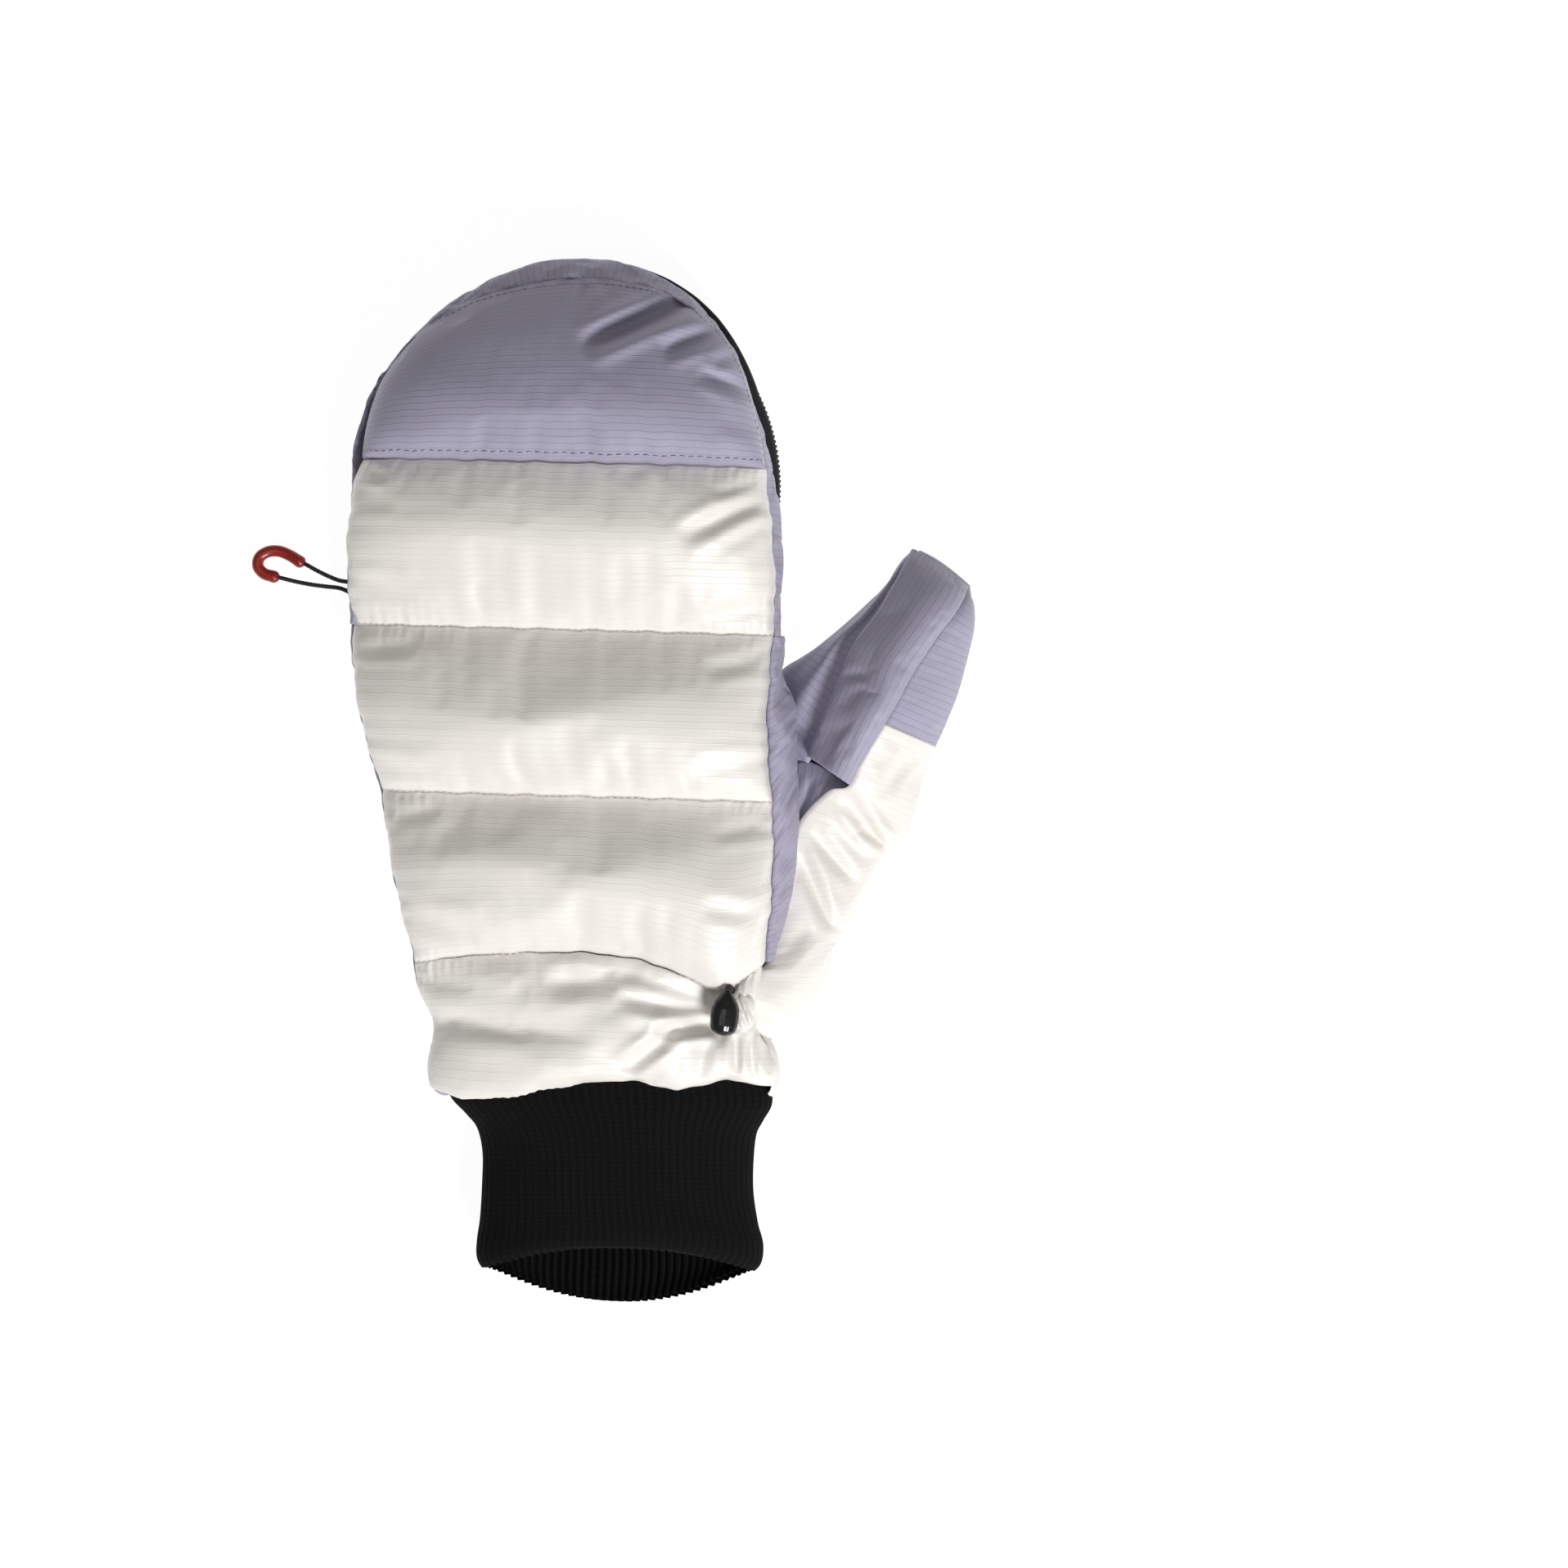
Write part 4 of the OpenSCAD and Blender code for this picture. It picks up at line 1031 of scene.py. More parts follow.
# a small web of cloth between the thumb's strip and the side of the hand
webTop = knots([(66, -40, 17), (75.5, -37.4, 19.5), (87.5, -44.6, 26)], 26)
webLow = knots([(66, -60, 19), (72.4, -56.8, 22.5), (81.5, -46.2, 26.5)], 26)
webCloth = pinch(panelThrough(webLow, (webTop + webLow) / 2 + upBy(1.4), webTop, 18),
                 [(73, -55, 76, -42, 1.3, 1.2)])
thumbWeb = gridMesh("thumbWeb", webCloth, lilac, thick=0.5)
underIn = knots([(47, -90, 4), (49, -68, 4), (54, -48, 4), (64, -26, 4), (76, -10, 4), (90.2, 3, 4),
                 (98.2, 12.6, 4), (103, 20.5, 5), (105.5, 23.8, 6)], 110)
underOut = knots([(66, -114, 4), (80, -88, 4), (91, -64, 4), (100.5, -48, 4), (107, -29, 4), (114, -13, 4),
                  (117.4, -1, 4), (119.2, 5.5, 5), (119.8, 12.8, 6)], 110)
underCloth = panelThrough(underIn, (underIn + underOut) / 2 - upBy(3.0), underOut, 40, 0.5)
thumbUnder = gridMesh("thumbUnderPanel", underCloth, lilac, thick=0.5, flip=True)
# a last fold of cloth closes the thumb's tip, from the strip's end down to the panel underneath
tipStart = np.array(thumbPlan["stripCrease"][-1:], float)
tipEnd = np.array(thumbPlan["stripSeam"][-1:], float)
tipLine = panelThrough(tipStart, (tipStart + tipEnd) / 2 + upBy(stripCrest), tipEnd, 30, 0.55)[0]
tipTuck = knots([(105.5, 23.8, 6), (109.5, 22.6, 3.8), (115, 18.4, 3.8), (119.8, 12.8, 6)], 30)
tipFoldCloth = panelThrough(tipTuck, (tipLine + tipTuck) / 2 + np.array([1.2, 2.2, -0.5]), tipLine, 10)
thumbTipFold = gridMesh("thumbTipFold", tipFoldCloth, lilac, thick=0.5)
print("thumb made")


# Hem, elastic and cuff.

hemPlan = {
    "rows": [
        # y on the back, y on the palm, half-width, middle x, half-height, middle height
        (-115.0, -115.0, 46.0, 14.8, 17.0, 20.0), (-118.6, -119.0, 47.6, 15.0, 19.6, 21.0),
        (-120.8, -121.0, 49.0, 15.4, 20.0, 21.0), (-124.5, -125.0, 51.3, 15.6, 21.6, 22.2),
        (-130.0, -131.0, 52.4, 15.7, 21.8, 22.3), (-135.2, -137.5, 51.8, 15.9, 20.6, 21.6),
        (-137.4, -140.5, 50.0, 16.2, 18.6, 21.0), (-135.8, -138.0, 46.8, 16.6, 16.8, 20.8),
        (-131.0, -132.0, 43.5, 17.0, 15.6, 20.5)],
}


def hemRing(plan, rowCount, columnCount):
    # closed rings: (cos^0.8, sin^0.9) ovals whose size and place run down the rows; the lower edge waves
    table = np.array(plan["rows"])
    line = knots(table, rowCount)
    a = np.linspace(-np.pi, np.pi, columnCount, endpoint=False)[None]
    c, s = np.cos(a), np.sin(a)
    ring = line[:, :, None]
    x = ring[:, 3] + ring[:, 2] * bent(c, 0.80)
    z = ring[:, 5] + ring[:, 4] * bent(s, 0.85)
    upper = np.clip(s * 2 + 0.5, 0, 1)
    y = ring[:, 0] * upper + ring[:, 1] * (1 - upper)
    chance = np.random.default_rng(8)
    shift = chance.uniform(0, 6.28, 5)
    u = np.linspace(0, 1, rowCount)[:, None]
    edge = np.exp(-((u - 0.74) / 0.22) ** 2)
    wave = 0.5 * np.sin(5 * a + shift[0]) + 0.5 * np.sin(9 * a + shift[1]) + 0.4 * np.sin(17 * a + shift[2])
    y = y + edge * wave * (0.9 + 0.6 * np.cos(a))
    gathers = (np.sin(34 * a + 2 * np.sin(3 * a + shift[3]))
               + 0.6 * np.sin(53 * a + shift[4])) * np.exp(-((u - 0.22) / 0.2) ** 2)
    soft = np.sin(19 * a + shift[1] + 2 * u) * np.exp(-((u - 0.5) / 0.25) ** 2)
    back = np.clip(s * 3 + 0.4, 0, 1)
    nearLock = np.exp(-((a - 0.55) / 0.5) ** 2)
    out = gathers * (0.75 - 0.6 * back + 0.15 * nearLock * back) + 0.35 * soft
    x, z = x + out * c, z + out * s
    y = y + 4.6 * np.exp(-((x - 42) / 26) ** 2) * np.clip(1 - u / 0.55, 0, 1) * np.clip(s * 2, 0, 1)
    z = np.maximum(z, 0.4)
    grid = np.stack([x, y, z], axis=2)
    above = grid.copy()
    pinch(above, [(56, -120, 54, -134, 1.8, 1.8), (61, -121, 62, -134, 1.6, 1.6),
                  (50, -120, 44, -134, 1.8, 1.2)])
    dent(above, (51.5, -117.5), 7.0, 2.2)
    topSide = np.clip(s * 4, 0, 1) * (u < 0.8)
    grid[:, :, 2] += (above[:, :, 2] - grid[:, :, 2]) * topSide
    return grid


hemColumns = 320
hemCloth = hemRing(hemPlan, 44, hemColumns)
backPart = hemCloth[:, 128:174]
palmPart = hemCloth[:, 1:129]
hemBack = gridMesh("hemBandBack", backPart, pearl, gridUv(backPart), thick=0.5, flip=True)
hemPalm = gridMesh("hemBandPalm", palmPart, lilac, gridUv(palmPart), thick=0.5, flip=True)


def elasticBand(columnCount):
    # a soft wavy band under the gathers: its rows ripple like shirred cloth
    a = np.linspace(-np.pi, 0, columnCount)[None]
    u = np.linspace(0, 1, 14)[:, None]
    out = 0.8 * np.sin(40 * a + 2 * np.sin(4 * a)) * np.sin(np.pi * u)
    x = 15 + (47.4 + out) * bent(np.cos(a), 0.8)
    z = 21 + (19.4 + out) * -np.abs(np.sin(a)) ** 0.85
    return np.stack([x, -114.5 - 8 * u + 0 * a, np.maximum(z, 0.6)], axis=2)


elasticGrid = elasticBand(240)
wristElastic = gridMesh("wristElastic", elasticGrid, lilac, gridUv(elasticGrid), thick=0.8, flip=True)

cuffPlan = {
    "ribs": 84, "perRib": 8, "ribDepth": 1.15, "wall": 2.4,
    # y, middle x, half-width, half-height, middle height
    "rows": [(-128, 17, 43.5, 15.4, 20.5), (-134, 17.2, 45.4, 16.6, 20.6), (-139.5, 18.0, 45.8, 17.4, 20.6),
             (-144, 18.9, 42.6, 17.6, 20.4), (-149, 19.8, 39.4, 17.6, 20.2), (-157, 20.6, 38.0, 17.6, 20.0),
             (-167, 21.0, 38.0, 17.8, 20.0), (-177, 21.9, 39.0, 18.0, 20.0), (-183, 22.5, 40.2, 18.2, 20.0),
             (-187.5, 22.4, 40.2, 18.2, 20.0), (-190.2, 22.2, 38.8, 17.4, 20.0)],
    "rowCount": 96,
}


def cuffGrid(plan):
    # ribbed sleeve: ovals carried down the rows, radius rippled by |cos| ribs, the mouth cut on a slant
    line = knots(np.array(plan["rows"]), plan["rowCount"])
    n = plan["ribs"] * plan["perRib"]
    a = np.linspace(-np.pi, np.pi, n, endpoint=False)
    base = np.stack([39 * bent(np.cos(a), 0.82), 18 * bent(np.sin(a), 0.8)], axis=1)
    run = np.r_[0, np.cumsum(np.linalg.norm(np.diff(np.r_[base, base[:1]], axis=0), axis=1))]
    a = np.interp(np.linspace(0, run[-1], n, endpoint=False), run, np.r_[a, np.pi])
    c, s = np.cos(a)[None], np.sin(a)[None]
    u = np.linspace(0, 1, plan["rowCount"])[:, None]
    phase = np.arange(n)[None] / plan["perRib"]
    rib = np.abs(np.sin(np.pi * phase)) ** 0.7
    out = plan["ribDepth"] * (rib - 0.6) + 0.5 * np.sin(3 * a[None] + 5 * u) * np.sin(np.pi * u)
    x = line[:, 1:2] + (line[:, 2:3] + out) * bent(c, 0.82)
    z = line[:, 4:5] + (line[:, 3:4] + out) * bent(s, 0.8)
    slant = np.clip((u - 0.45) / 0.55, 0, 1) ** 1.3
    across = np.abs(c) ** 0.82
    mouth = np.where(s > 0, 8.4 * (1 - across ** 2.4), -12.2 * (1 - across ** 2.0)) + 0.9 * c
    y = line[:, 0:1] + slant * mouth + 0.25 * np.sin(np.pi * phase) ** 2 * (u > 0.97)
    return np.stack([x, y + 0 * z, np.maximum(z, 0.5)], axis=2)


cuffCloth = cuffGrid(cuffPlan)
cuffUv = gridUv(cuffCloth)
cuffUv[:, :, 0] = np.arange(cuffCloth.shape[1])[None] / cuffPlan["perRib"] * 0.0024
ribCuff = gridMesh("ribCuff", cuffCloth, ribKnit, cuffUv, closed=True, flip=True, thick=cuffPlan["wall"],
                   levels=0)
print("hem and cuff made")


# Linings seen when the hood is folded back or down the cuff.

def archLining(name, yFrom, yTo, material, halfLow, zTop, rowsCount=20):
    # an arch of cloth over the hand: oval top over straight sides, its width following the mitten's
    y = np.linspace(yFrom, yTo, rowsCount)[:, None]
    a = np.linspace(0, np.pi, 60)[None]
    left = edgeX(backPlan["leftEdge"], y[:, 0])[:, None] + halfLow
    right = edgeX(backPlan["rightEdge"], y[:, 0])[:, None] - halfLow
    c, s = np.cos(a), np.sin(a)
    x = (left + right) / 2 - (right - left) / 2 * bent(c, 0.75)
    z = 8.6 + (zTop - 8.6) * np.abs(s) ** 0.45
    grid = np.stack(np.broadcast_arrays(x, y, z), axis=2)
    return gridMesh(name, grid, material, thick=0.7, levels=0)


handLining = archLining("handLining", -116, -1.0, liningCloth, 5.5, 34.0)
hoodLineGrid = np.concatenate([hoodGrid[:, ::2], tipCloth[1:, ::2]], axis=0).copy()
hoodMiddle = np.array(zipPlan["centre"])
hoodLineGrid[:, :, :2] = hoodMiddle + (hoodLineGrid[:, :, :2] - hoodMiddle) * np.array([0.935, 0.95])
hoodLineGrid[:, :, 1] = np.maximum(hoodLineGrid[:, :, 1], 0.4)
crown = np.clip((hoodLineGrid[:, :, 2] - 21) / 22, 0, 1)
hoodLineGrid[:, :, 2] = 18.5 + 16.0 * crown
hoodLineGrid[0] = foldSeam[::2] * np.array([0.985, 1, 1]) + np.array([0, 0.2, -1.8])
hoodLining = gridMesh("hoodLining", hoodLineGrid, liningCloth, thick=0.6, levels=0)


def facingWall(name, y):
    # closes the padded row at the fold line: from the lining's arch out to the seam's
    outer = foldSeam.copy()
    inner = outer.copy()
    middle = (outer[0, 0] + outer[-1, 0]) / 2
    inner[:, 0] = middle + (outer[:, 0] - middle) * 0.89
    inner[:, 2] = np.minimum(outer[:, 2] - 2.0, 35.0)
    outer[:, 1] = inner[:, 1] = y
    outer[:, 2] -= 1.8
    return gridMesh(name, np.stack([inner, (inner + outer) / 2, outer]), liningCloth, thick=0.5, levels=0)


knuckleFacing = facingWall("knuckleFacing", -0.5)
thumbLineIn, thumbLineOut = underIn.copy(), underOut.copy()
thumbLineIn[:, :2] = (underIn[:, :2] * 0.86 + underOut[:, :2] * 0.14)
thumbLineOut[:, :2] = (underOut[:, :2] * 0.86 + underIn[:, :2] * 0.14)
thumbLineIn[:, 2] = thumbLineOut[:, 2] = 12
thumbLineIn, thumbLineOut = thumbLineIn[8:92], thumbLineOut[8:92]
thumbLineMid = (thumbLineIn + thumbLineOut) / 2
ringTop = panelThrough(thumbLineIn, thumbLineMid + upBy(8), thumbLineOut, 20, 0.5)
ringLow = panelThrough(thumbLineOut, thumbLineMid - upBy(5), thumbLineIn, 20, 0.5)
thumbTube = np.concatenate([ringTop[:, :-1], ringLow[:, :-1]], axis=1)
thumbTubeEnd = thumbTube[-1:].mean(axis=1, keepdims=True) + 0 * thumbTube[-1:]
thumbTubeCap = thumbTubeEnd * 0.7 + thumbTube[-1:] * 0.3 + np.array([1.4, 2.8, 0])
thumbTube = np.concatenate([thumbTube, thumbTubeCap, thumbTubeEnd + np.array([1.8, 3.6, 0])])
thumbLining = gridMesh("thumbLining", thumbTube, liningCloth, closed=True, levels=0, flip=True)
weld(thumbLining)
print("linings made")


puffAll()
print("cloth puffed")


# Seams and stitching.

stitchPlan = {"length": 2.0, "pitch": 2.7, "radius": 0.20, "lift": 0.45}
finePlan = {"length": 1.5, "pitch": 2.1, "radius": 0.16, "lift": 0.4}


def surfaceLine(piece, grid, rowsAt=None, columnAt=None):
    # the line of a finished panel's own points, so that its stitches lie on the cloth
    co = (coordsOf(piece) / mm).reshape(grid.shape)
    return co[rowsAt] if rowsAt is not None else co[:, columnAt]


tipPanel = panels["hoodTipPanel"]
tipStitch = stitchRow("tipSeamStitches", surfaceLine(tipPanel, tipCloth, rowsAt=2)[4:-4], stitchPlan, thread)
rimSide = surfaceLine(tipPanel, tipCloth, columnAt=-4)[2:-3]
rimTop = surfaceLine(tipPanel, tipCloth, rowsAt=-3)[::-1][4:-4]
rimLine = np.concatenate([rimSide, rimTop])
rimStitch = stitchRow("tipRimStitches", rimLine, finePlan, thread)
stripStitchA = stitchRow("thumbStripStitches", surfaceLine(strip, stripGrid, columnAt=-2)[2:-8], finePlan,
                         thread)
patchStitch = stitchRow("thumbPatchStitches", surfaceLine(tipPatchPiece, patchGrid, rowsAt=1)[1:14],
                        finePlan, thread)
palmRimLine = respaced(np.concatenate([palmCloth[4:-3, 2], palmCloth[-3, 2:-2], palmCloth[4:-3, -3][::-1]]),
                       600)
palmRimLine[:, 2] -= 0.8
palmStitch = stitchRow("palmRimStitches", palmRimLine, finePlan, thread)
quiltLines = []
for k, line in enumerate((middleSeam, wristSeam, foldSeam)):
    quiltLines.append(stitchRow("quiltStitches" + str(k), line[3:-3] - upBy(0.1), finePlan, paleThread))


# Wrist lock and drawcord.

lockPlan = {"tip": (52.6, -105.3), "end": (51.5, -119.4), "z": 46.8, "half": 4.3, "deep": 3.3,
            "plungerShare": 0.30}


def lockGrids(plan):
    # bullet turned about its long axis: half-width from a short table of shares along it
    share = np.array([0, 0.02, 0.06, 0.14, 0.28, 0.42, 0.6, 0.78, 0.9, 0.965, 1.0])
    width = np.array([0.0, 0.14, 0.24, 0.46, 0.80, 0.98, 1.0, 0.96, 0.82, 0.52, 0.0])
    t = np.linspace(0, 1, 56)
    w = np.interp(t, share, width)
    a, b = np.array([*plan["tip"], plan["z"]]), np.array([*plan["end"], plan["z"]])
    path = a + t[:, None] * (b - a)
    grid = sweep(path, plan["half"] * w, 32, flat=plan["deep"] / plan["half"])
    ang = np.linspace(0, 2 * np.pi, 32, endpoint=False)[None]
    grooved = ((t > 0.55) & (t < 0.93))[:, None]
    grid[:, :, 2] += np.cos(ang * 16) * 0.14 * np.exp(-((np.sin(ang) - 1) / 0.18) ** 2) * grooved
    cut = int(56 * plan["plungerShare"])
    return grid[:cut + 1], grid[cut - 1:]


plungerGrid, housingGrid = lockGrids(lockPlan)
capRing = plungerGrid[-1:].mean(axis=1, keepdims=True) + 0 * plungerGrid[-1:]
plungerWhole = np.concatenate([plungerGrid, plungerGrid[-1:] * 0.999 + capRing * 0.001, capRing])
lockPlunger = gridMesh("lockPlunger", plungerWhole, lockPlastic, closed=True, levels=1)
weld(lockPlunger)
capRing = housingGrid[:1].mean(axis=1, keepdims=True) + 0 * housingGrid[:1]
housingWhole = np.concatenate([capRing, housingGrid[:1], housingGrid])
lockHousing = gridMesh("lockHousing", housingWhole, lockPlastic, closed=True, levels=1)
weld(lockHousing)
springPlan = {"x": 52.1, "from": -112.0, "pitch": 0.55, "z": 46.2, "radius": 1.3, "turns": 7, "wire": 0.18}
springTurns = np.linspace(0, springPlan["turns"], 90)
springPath = np.stack([springPlan["x"] + springPlan["radius"] * np.cos(2 * np.pi * springTurns),
                       springPlan["from"] - springPlan["pitch"] * springTurns,
                       springPlan["z"] + springPlan["radius"] * np.sin(2 * np.pi * springTurns)], axis=1)
lockSpring = tubePiece("lockSpring", springPath, springPlan["wire"], springWire, sides=6)
cordRoute = knots([(54.2, -107.0, 38.5), (53.6, -105.6, 41.5), (53.0, -105.2, 44.4), (52.5, -106.6, 46.0)],
                  20)
tabGrid = superBlock((57.4, -112.3, 40.4), (3.6, 5.4, 2.7), 0.8, 0.8, 24, 60)
tabGrid = pinch(tabGrid, [(54.5, -106, 59.5, -118, 0.6, 0.9), (57, -106, 61, -115, 0.55, 0.8),
                          (54, -110, 57, -119, 0.5, 0.6)])
cordAnchor = gridMesh("drawcordAnchor", tabGrid, pearl, closed=True, levels=1)
weld(cordAnchor)


def ringAround(count, lift, fromAngle, toAngle):
    # the hem's oval, moved out by the lift, between two angles
    a = np.linspace(fromAngle, toAngle, count)
    table = hemPlan["rows"][1]
    x = table[3] + (table[2] + lift) * bent(np.cos(a), 0.8)
    z = table[5] + (table[4] + lift) * bent(np.sin(a), 0.85)
    return np.stack([x, np.full(count, -119.0), np.maximum(z, 1.4)], axis=1)


drawcordRing = ringAround(200, -4.4, 0.4, np.pi * 2 + 0.1)
drawcordMain = tubePiece("drawcordRun", drawcordRing, 0.95, cordBraid, sides=8)
drawcordEnd = tubePiece("drawcordEnd", cordRoute, 0.95, cordBraid, sides=10)
drawcord = joinPieces("drawcord", [drawcordMain, drawcordEnd])
tunnelPath = ringAround(260, -3.6, 0.55, np.pi - 0.05)
tunnelRadius = 2.2 + 0.5 * np.sin(np.linspace(0, 150, 260)) + 0.3 * np.sin(np.linspace(0, 260, 260))
tunnelLine, tunnelFall = roundEnds(tunnelPath, 2.2)
tunnelFall[4:-4] = tunnelRadius
tunnel = gridMesh("drawcordTunnel", sweep(tunnelLine, tunnelFall, 16, up=(0, 1, 0)), pearl, closed=True,
                  levels=0)
weld(tunnel)
print("lock and drawcord made")


# Slider, pull cord and grip.

sliderPlan = {"angle": zipPlan["to"], "radius": zipPlan["radius"], "lowPlate": 11.0, "highPlate": 17.0,
              "plate": (4.6, 3.4, 0.75),
              "bailCentre": (-60.55, 10.72, 14.0), "bailRadius": 1.5}


def turnedBlock(centre, size, angle, e1=0.5, e2=0.55):
    grid = superBlock((0, 0, 0), size, e1, e2, 12, 32)
    a = math.radians(angle)
    turn = np.array([[math.cos(a), math.sin(a), 0], [-math.sin(a), math.cos(a), 0], [0, 0, 1]])
    return grid @ turn + np.array(centre, float)


def sliderParts(plan):
    a = math.radians(plan["angle"])
    spot = ringLine(plan["radius"], 0, np.array([plan["angle"]]))[0]
    along = plan["angle"] + 90
    parts = []
    for k, (z, size) in enumerate(((plan["lowPlate"], plan["plate"]), (plan["highPlate"], plan["plate"]))):
        parts.append(gridMesh("plate" + str(k), turnedBlock(spot + (0, 0, z), size, along), sliderPlastic,
                              closed=True, levels=0))
    outward = np.array([math.cos(a), math.sin(a), 0])
    parts.append(gridMesh("post", turnedBlock(spot + outward * 2.6 + (0, 0, 14), (3.2, 0.9, 3.2), along),
                          sliderPlastic, closed=True, levels=0))
    bar = np.array(plan["bailCentre"])
    loop = [spot + outward * 3.0 + (0, 0, 16.9), spot + outward * 4.6 + (0, 0, 17.2),
            bar + outward * 0.3 + (0, 0, 2.6), bar + (0, 0, 0.0),
            bar + outward * 0.3 + (0, 0, -2.6), spot + outward * 4.6 + (0, 0, 10.8),
            spot + outward * 3.0 + (0, 0, 11.1)]
    path, radii = roundEnds(through(loop, 40), 0.95)
    parts.append(gridMesh("bail", sweep(path, radii, 12, up=(0.3, 1, 0)), sliderPlastic, closed=True,
                          levels=0))
    for part in parts:
        weld(part)
    return parts


slider = joinPieces("zipSlider", sliderParts(sliderPlan))

pullRoute = [(-82.6, 19.7, 3.4), (-79.5, 18.2, 4.4), (-75.6, 16.2, 6.6), (-72, 14.6, 9),
             (-68.2, 13.3, 11.6), (-64.5, 13, 13.3), (-62, 13.1, 13.9), (-60.6, 13.2, 14),
             (-59.3, 12.9, 14), (-58.4, 12, 14), (-58, 10.7, 14), (-58.4, 9.5, 14), (-59.3, 8.6, 14),
             (-60.6, 8.2, 14), (-62, 8.7, 13.9), (-64.8, 9.7, 13.2), (-68.2, 11, 11.6), (-72.6, 11.5, 9.2),
             (-77.1, 12, 6.8), (-82.5, 12.9, 4.6), (-87, 13.9, 3.2), (-90.4, 14.7, 2.5)]
gripRoute = [(-81.4, 19, 3.7), (-84.5, 20.8, 2.6), (-88, 22, 2.1), (-91.5, 21.6, 2), (-93.8, 19.8, 2),
             (-94.1, 17.2, 2), (-92.4, 15.2, 2.1), (-89.2, 14.2, 2.4)]
pullPlan = {"cordDiameter": 1.3, "gripDiameter": 3.9}
pullLine = respaced(through(pullRoute, 160), 160)
braid = 1 + 0.05 * np.sin(np.arange(160) * 1.9)
cordLine, cordRadii = roundEnds(pullLine, pullPlan["cordDiameter"] / 2)
cordRadii[4:-4] *= braid
pullCord = gridMesh("pullCord", sweep(cordLine, cordRadii, 12), cordBraid, closed=True, levels=0)
weld(pullCord)
gripLine = through(gripRoute, 60)
gripPath, gripRadii = roundEnds(gripLine, pullPlan["gripDiameter"] / 2, 5)
t = np.linspace(0, 1, len(gripRadii))
gripRims = np.exp(-((t - 0.06) / 0.03) ** 2) + np.exp(-((t - 0.94) / 0.03) ** 2)
gripRadii = gripRadii * (1 - 0.08 * np.exp(-((t - 0.5) / 0.42) ** 8) + 0.04 * gripRims)
pullGrip = gridMesh("pullGrip", sweep(gripPath, gripRadii, 20), gripRubber, closed=True, levels=1)
weld(pullGrip)


# What each piece rides on and stands for.

finishPiece(panels["hoodTipPanel"], "hood", "lilac_ripstop", "hood_tip_panel", "hood_tip_fill", padded=0.7)
finishPiece(panels["knuckleBaffle"], "mitt", "pearl_satin", "back_panel", "knuckle_fill", padded=0.8)
finishPiece(panels["midBaffle"], "mitt", "pearl_satin", "mid_fill", padded=0.8)
finishPiece(panels["wristBaffle"], "mitt", "pearl_satin", "wrist_fill", padded=0.6)
finishPiece(thumbSideGusset, "mitt", "lilac_ripstop", "thumb_side_gusset")
finishPiece(pinkyGusset, "mitt", "lilac_ripstop", "pinky_gusset")
finishPiece(palmPanel, "mitt", "lilac_ripstop", "palm_shell", "palm_insulation", padded=0.5)
finishPiece(palmLining, "mitt", "lining", "palm_liner")
finishPiece(handLining, "mitt", "lining", "hand_liner")
finishPiece(knuckleFacing, "mitt", "lining")
finishPiece(hemBack, "mitt", "pearl_satin", "hem_band_back")
finishPiece(hemPalm, "mitt", "lilac_ripstop", "hem_band_palm")
finishPiece(wristElastic, "mitt", "elastic", "wrist_elastic")
finishPiece(ribCuff, "mitt", "rib_knit", "rib_cuff")
finishPiece(thumbPalm, "mitt", "lilac_ripstop", "thumb_palm_panel", "thumb_insulation", padded=0.6)
finishPiece(thumbUnder, "mitt", "lilac_ripstop")
finishPiece(thumbTipFold, "mitt", "lilac_ripstop")
finishPiece(strip, "mitt", "lilac_ripstop", "thumb_strips", padded=0.6)
finishPiece(thumbWeb, "mitt", "lilac_ripstop")
finishPiece(thumbBack, "mitt", "pearl_satin", "thumb_back_panel", padded=0.7)
finishPiece(tipPatchPiece, "mitt", "lilac_ripstop", "thumb_tip_patch", padded=0.6)
finishPiece(thumbLining, "mitt", "lining", "thumb_liner")
finishPiece(zipTapePalm, "mitt", "zip_tape", "zip_tape_palm")
for wall in walls:
    finishPiece(wall, "mitt", "zip_tape")
finishPiece(teethPalm, "mitt", "zip_coil", "zip_teeth_palm")
finishPiece(zipStops, "mitt", "zip_stop", "zip_end_stops")
finishPiece(zipTapeHood, "hood", "zip_tape", "zip_tape_hood")
finishPiece(teethHood, "hood", "zip_coil", "zip_teeth_hood")
finishPiece(slider, "slider", "slider", "slider_body")
finishPiece(pullGrip, "pull", "grip", "pull_grip")
finishPiece(pullCord, "pull", "pull_cord", "pull_cord")
finishPiece(lockHousing, "cord_lock", "lock", "lock_housing")
finishPiece(lockSpring, "cord_lock", "spring", "lock_spring")
finishPiece(lockPlunger, "lock_plunger", "lock", "lock_plunger")
finishPiece(drawcord, "mitt", "drawcord", "drawcord")
finishPiece(tunnel, "mitt", "pearl_satin", "drawcord_tunnel")
finishPiece(cordAnchor, "mitt", "pearl_satin", "drawcord_anchor")
finishPiece(tipStitch, "hood", "thread")
finishPiece(rimStitch, "hood", "thread")
for row in (stripStitchA, patchStitch, palmStitch, *quiltLines[:2]):
    finishPiece(row, "mitt", "thread")
finishPiece(quiltLines[2], "mitt", "thread", "fold_seam")

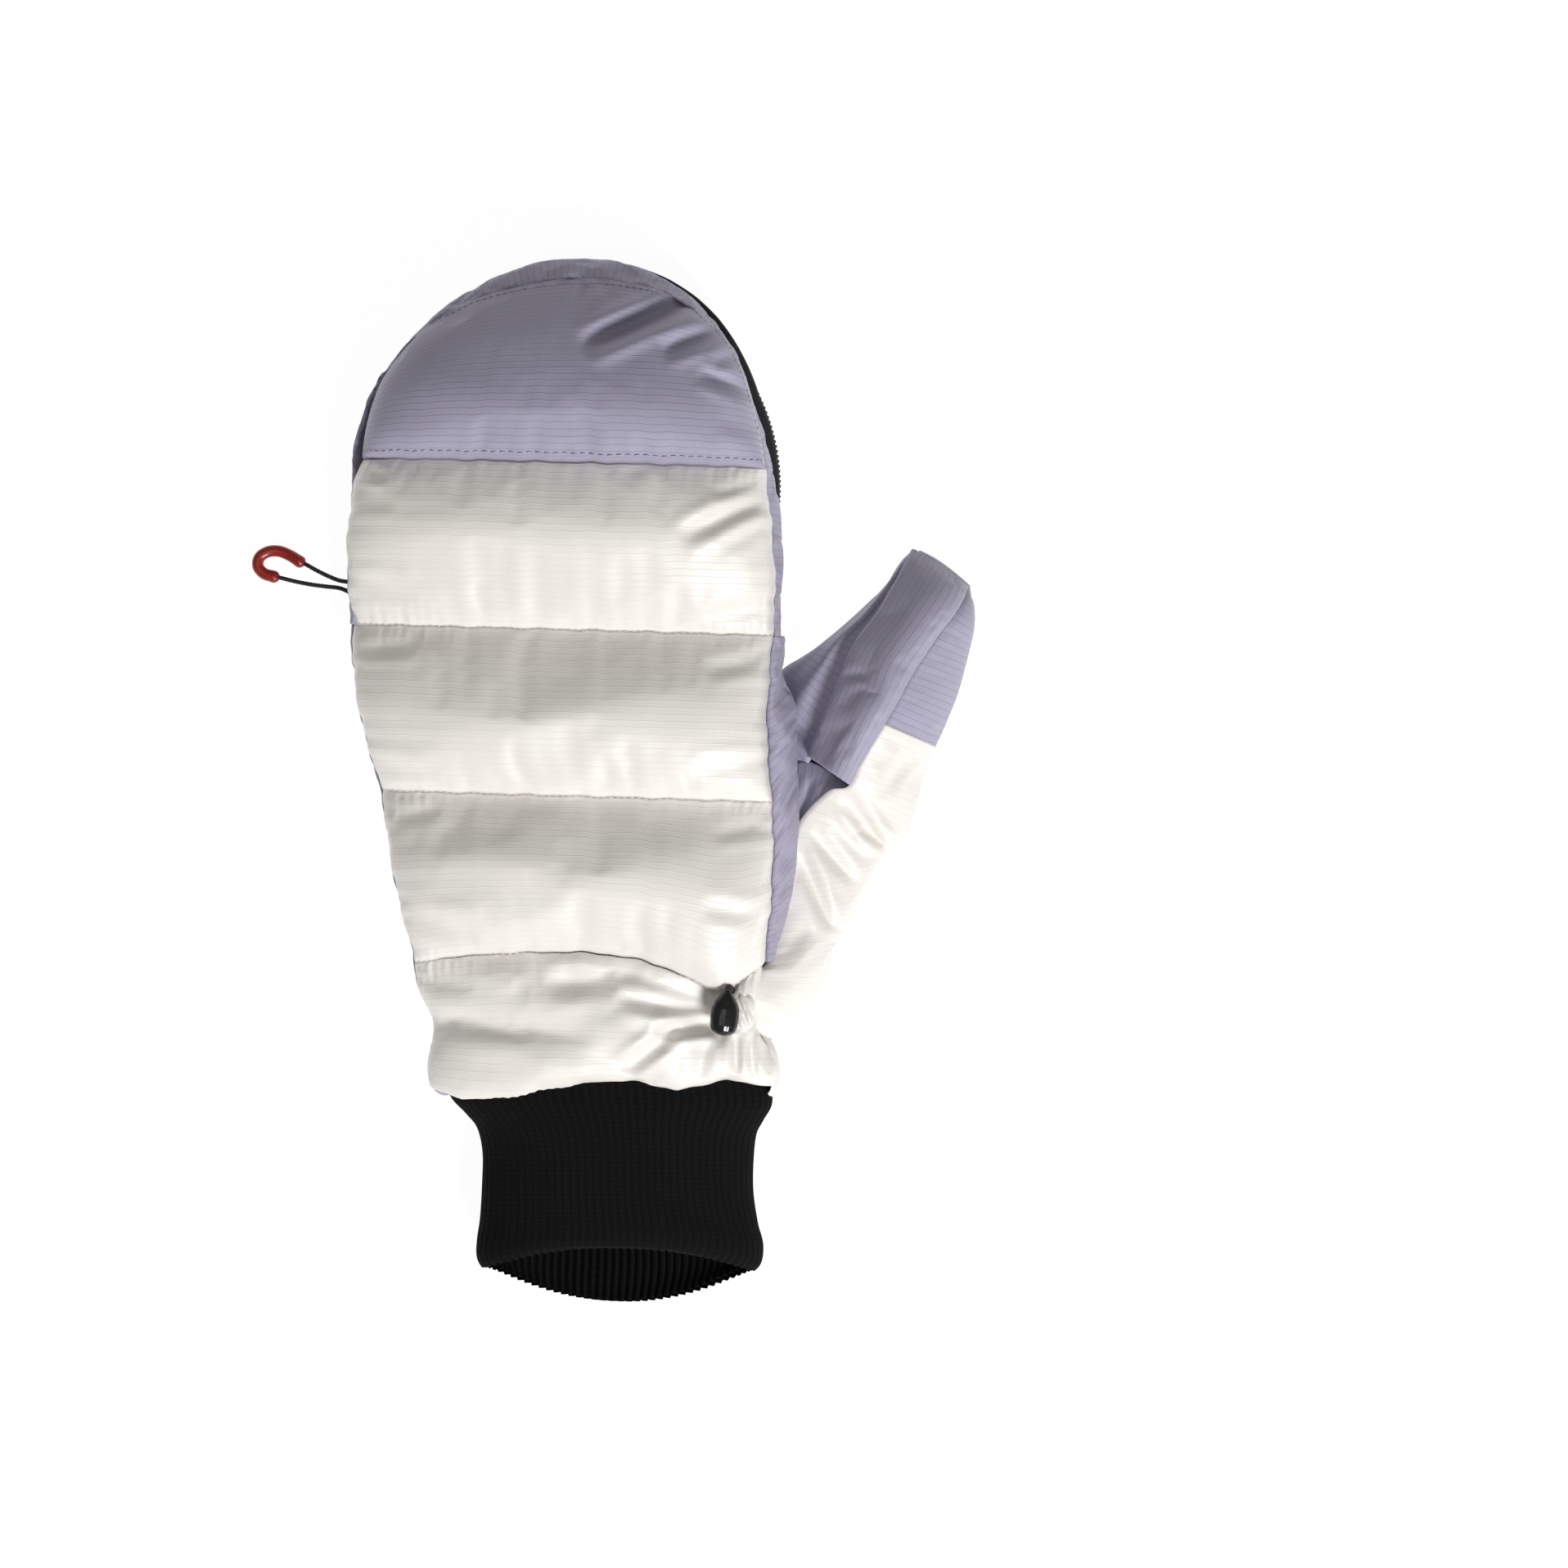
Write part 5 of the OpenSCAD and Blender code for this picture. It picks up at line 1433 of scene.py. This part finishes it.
for piece, slotName, nodes, fill in ((panels["hoodBaffle"], "pearl_satin",
                                      ("hood_baffle", "hood_baffle_fill"), 0.8),
                                     (gusset, "lilac_ripstop", ("hood_gusset",), None),
                                     (hoodLining, "lining", ("hood_liner",), None)):
    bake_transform(piece)
    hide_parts(*nodes)
print("pieces placed")


# Floor and light.

def studio(plan):
    # a glowing pale floor, a key from the lower right, a faint light above
    mesh = bpy.data.meshes.new("studioFloor")
    r = plan["floor"]
    mesh.from_pydata([(-r, -r, plan["floorZ"]), (r, -r, plan["floorZ"]), (r, r, plan["floorZ"]),
                      (-r, r, plan["floorZ"])], [], [(0, 1, 2, 3)])
    material, net, shader = newMaterial("studioFloor")
    shader.inputs["Base Color"].default_value = (0.24, 0.24, 0.24, 1)
    shader.inputs["Roughness"].default_value = 0.9
    shader.inputs["Emission Color"].default_value = (1, 1, 1, 1)
    shader.inputs["Emission Strength"].default_value = plan["floorGlow"]
    mesh.materials.append(material)
    floor = bpy.data.objects.new("studioFloor", mesh)
    bpy.context.scene.collection.objects.link(floor)
    for name, place, size, power in plan["lights"]:
        data = bpy.data.lights.new(name, "AREA")
        data.shape = "DISK"
        data.size = size
        data.energy = power
        lamp = bpy.data.objects.new(name, data)
        lamp.location = place
        toward = np.array(plan["aim"]) - np.array(place)
        lamp.rotation_euler = (math.atan2(math.hypot(toward[0], toward[1]), -toward[2]), 0,
                               math.atan2(toward[1], toward[0]) - math.pi / 2)
        bpy.context.scene.collection.objects.link(lamp)
    world = bpy.data.worlds.new("studioWorld")
    world.use_nodes = True
    world.node_tree.nodes["Background"].inputs["Color"].default_value = (1, 0.975, 0.945, 1)
    world.node_tree.nodes["Background"].inputs["Strength"].default_value = plan["ambient"]
    bpy.context.scene.world = world
    bpy.context.scene.view_settings.view_transform = "Standard"


studio({
    "floor": 4.0, "floorZ": -0.0012, "floorGlow": 0.93, "aim": (0.03, -0.04, 0.03), "ambient": 0.185,
    "lights": [("keyLight", (0.75, -1.45, 1.65), 0.7, 47), ("topLight", (-0.3, -0.2, 2.3), 1.2, 4)],
})
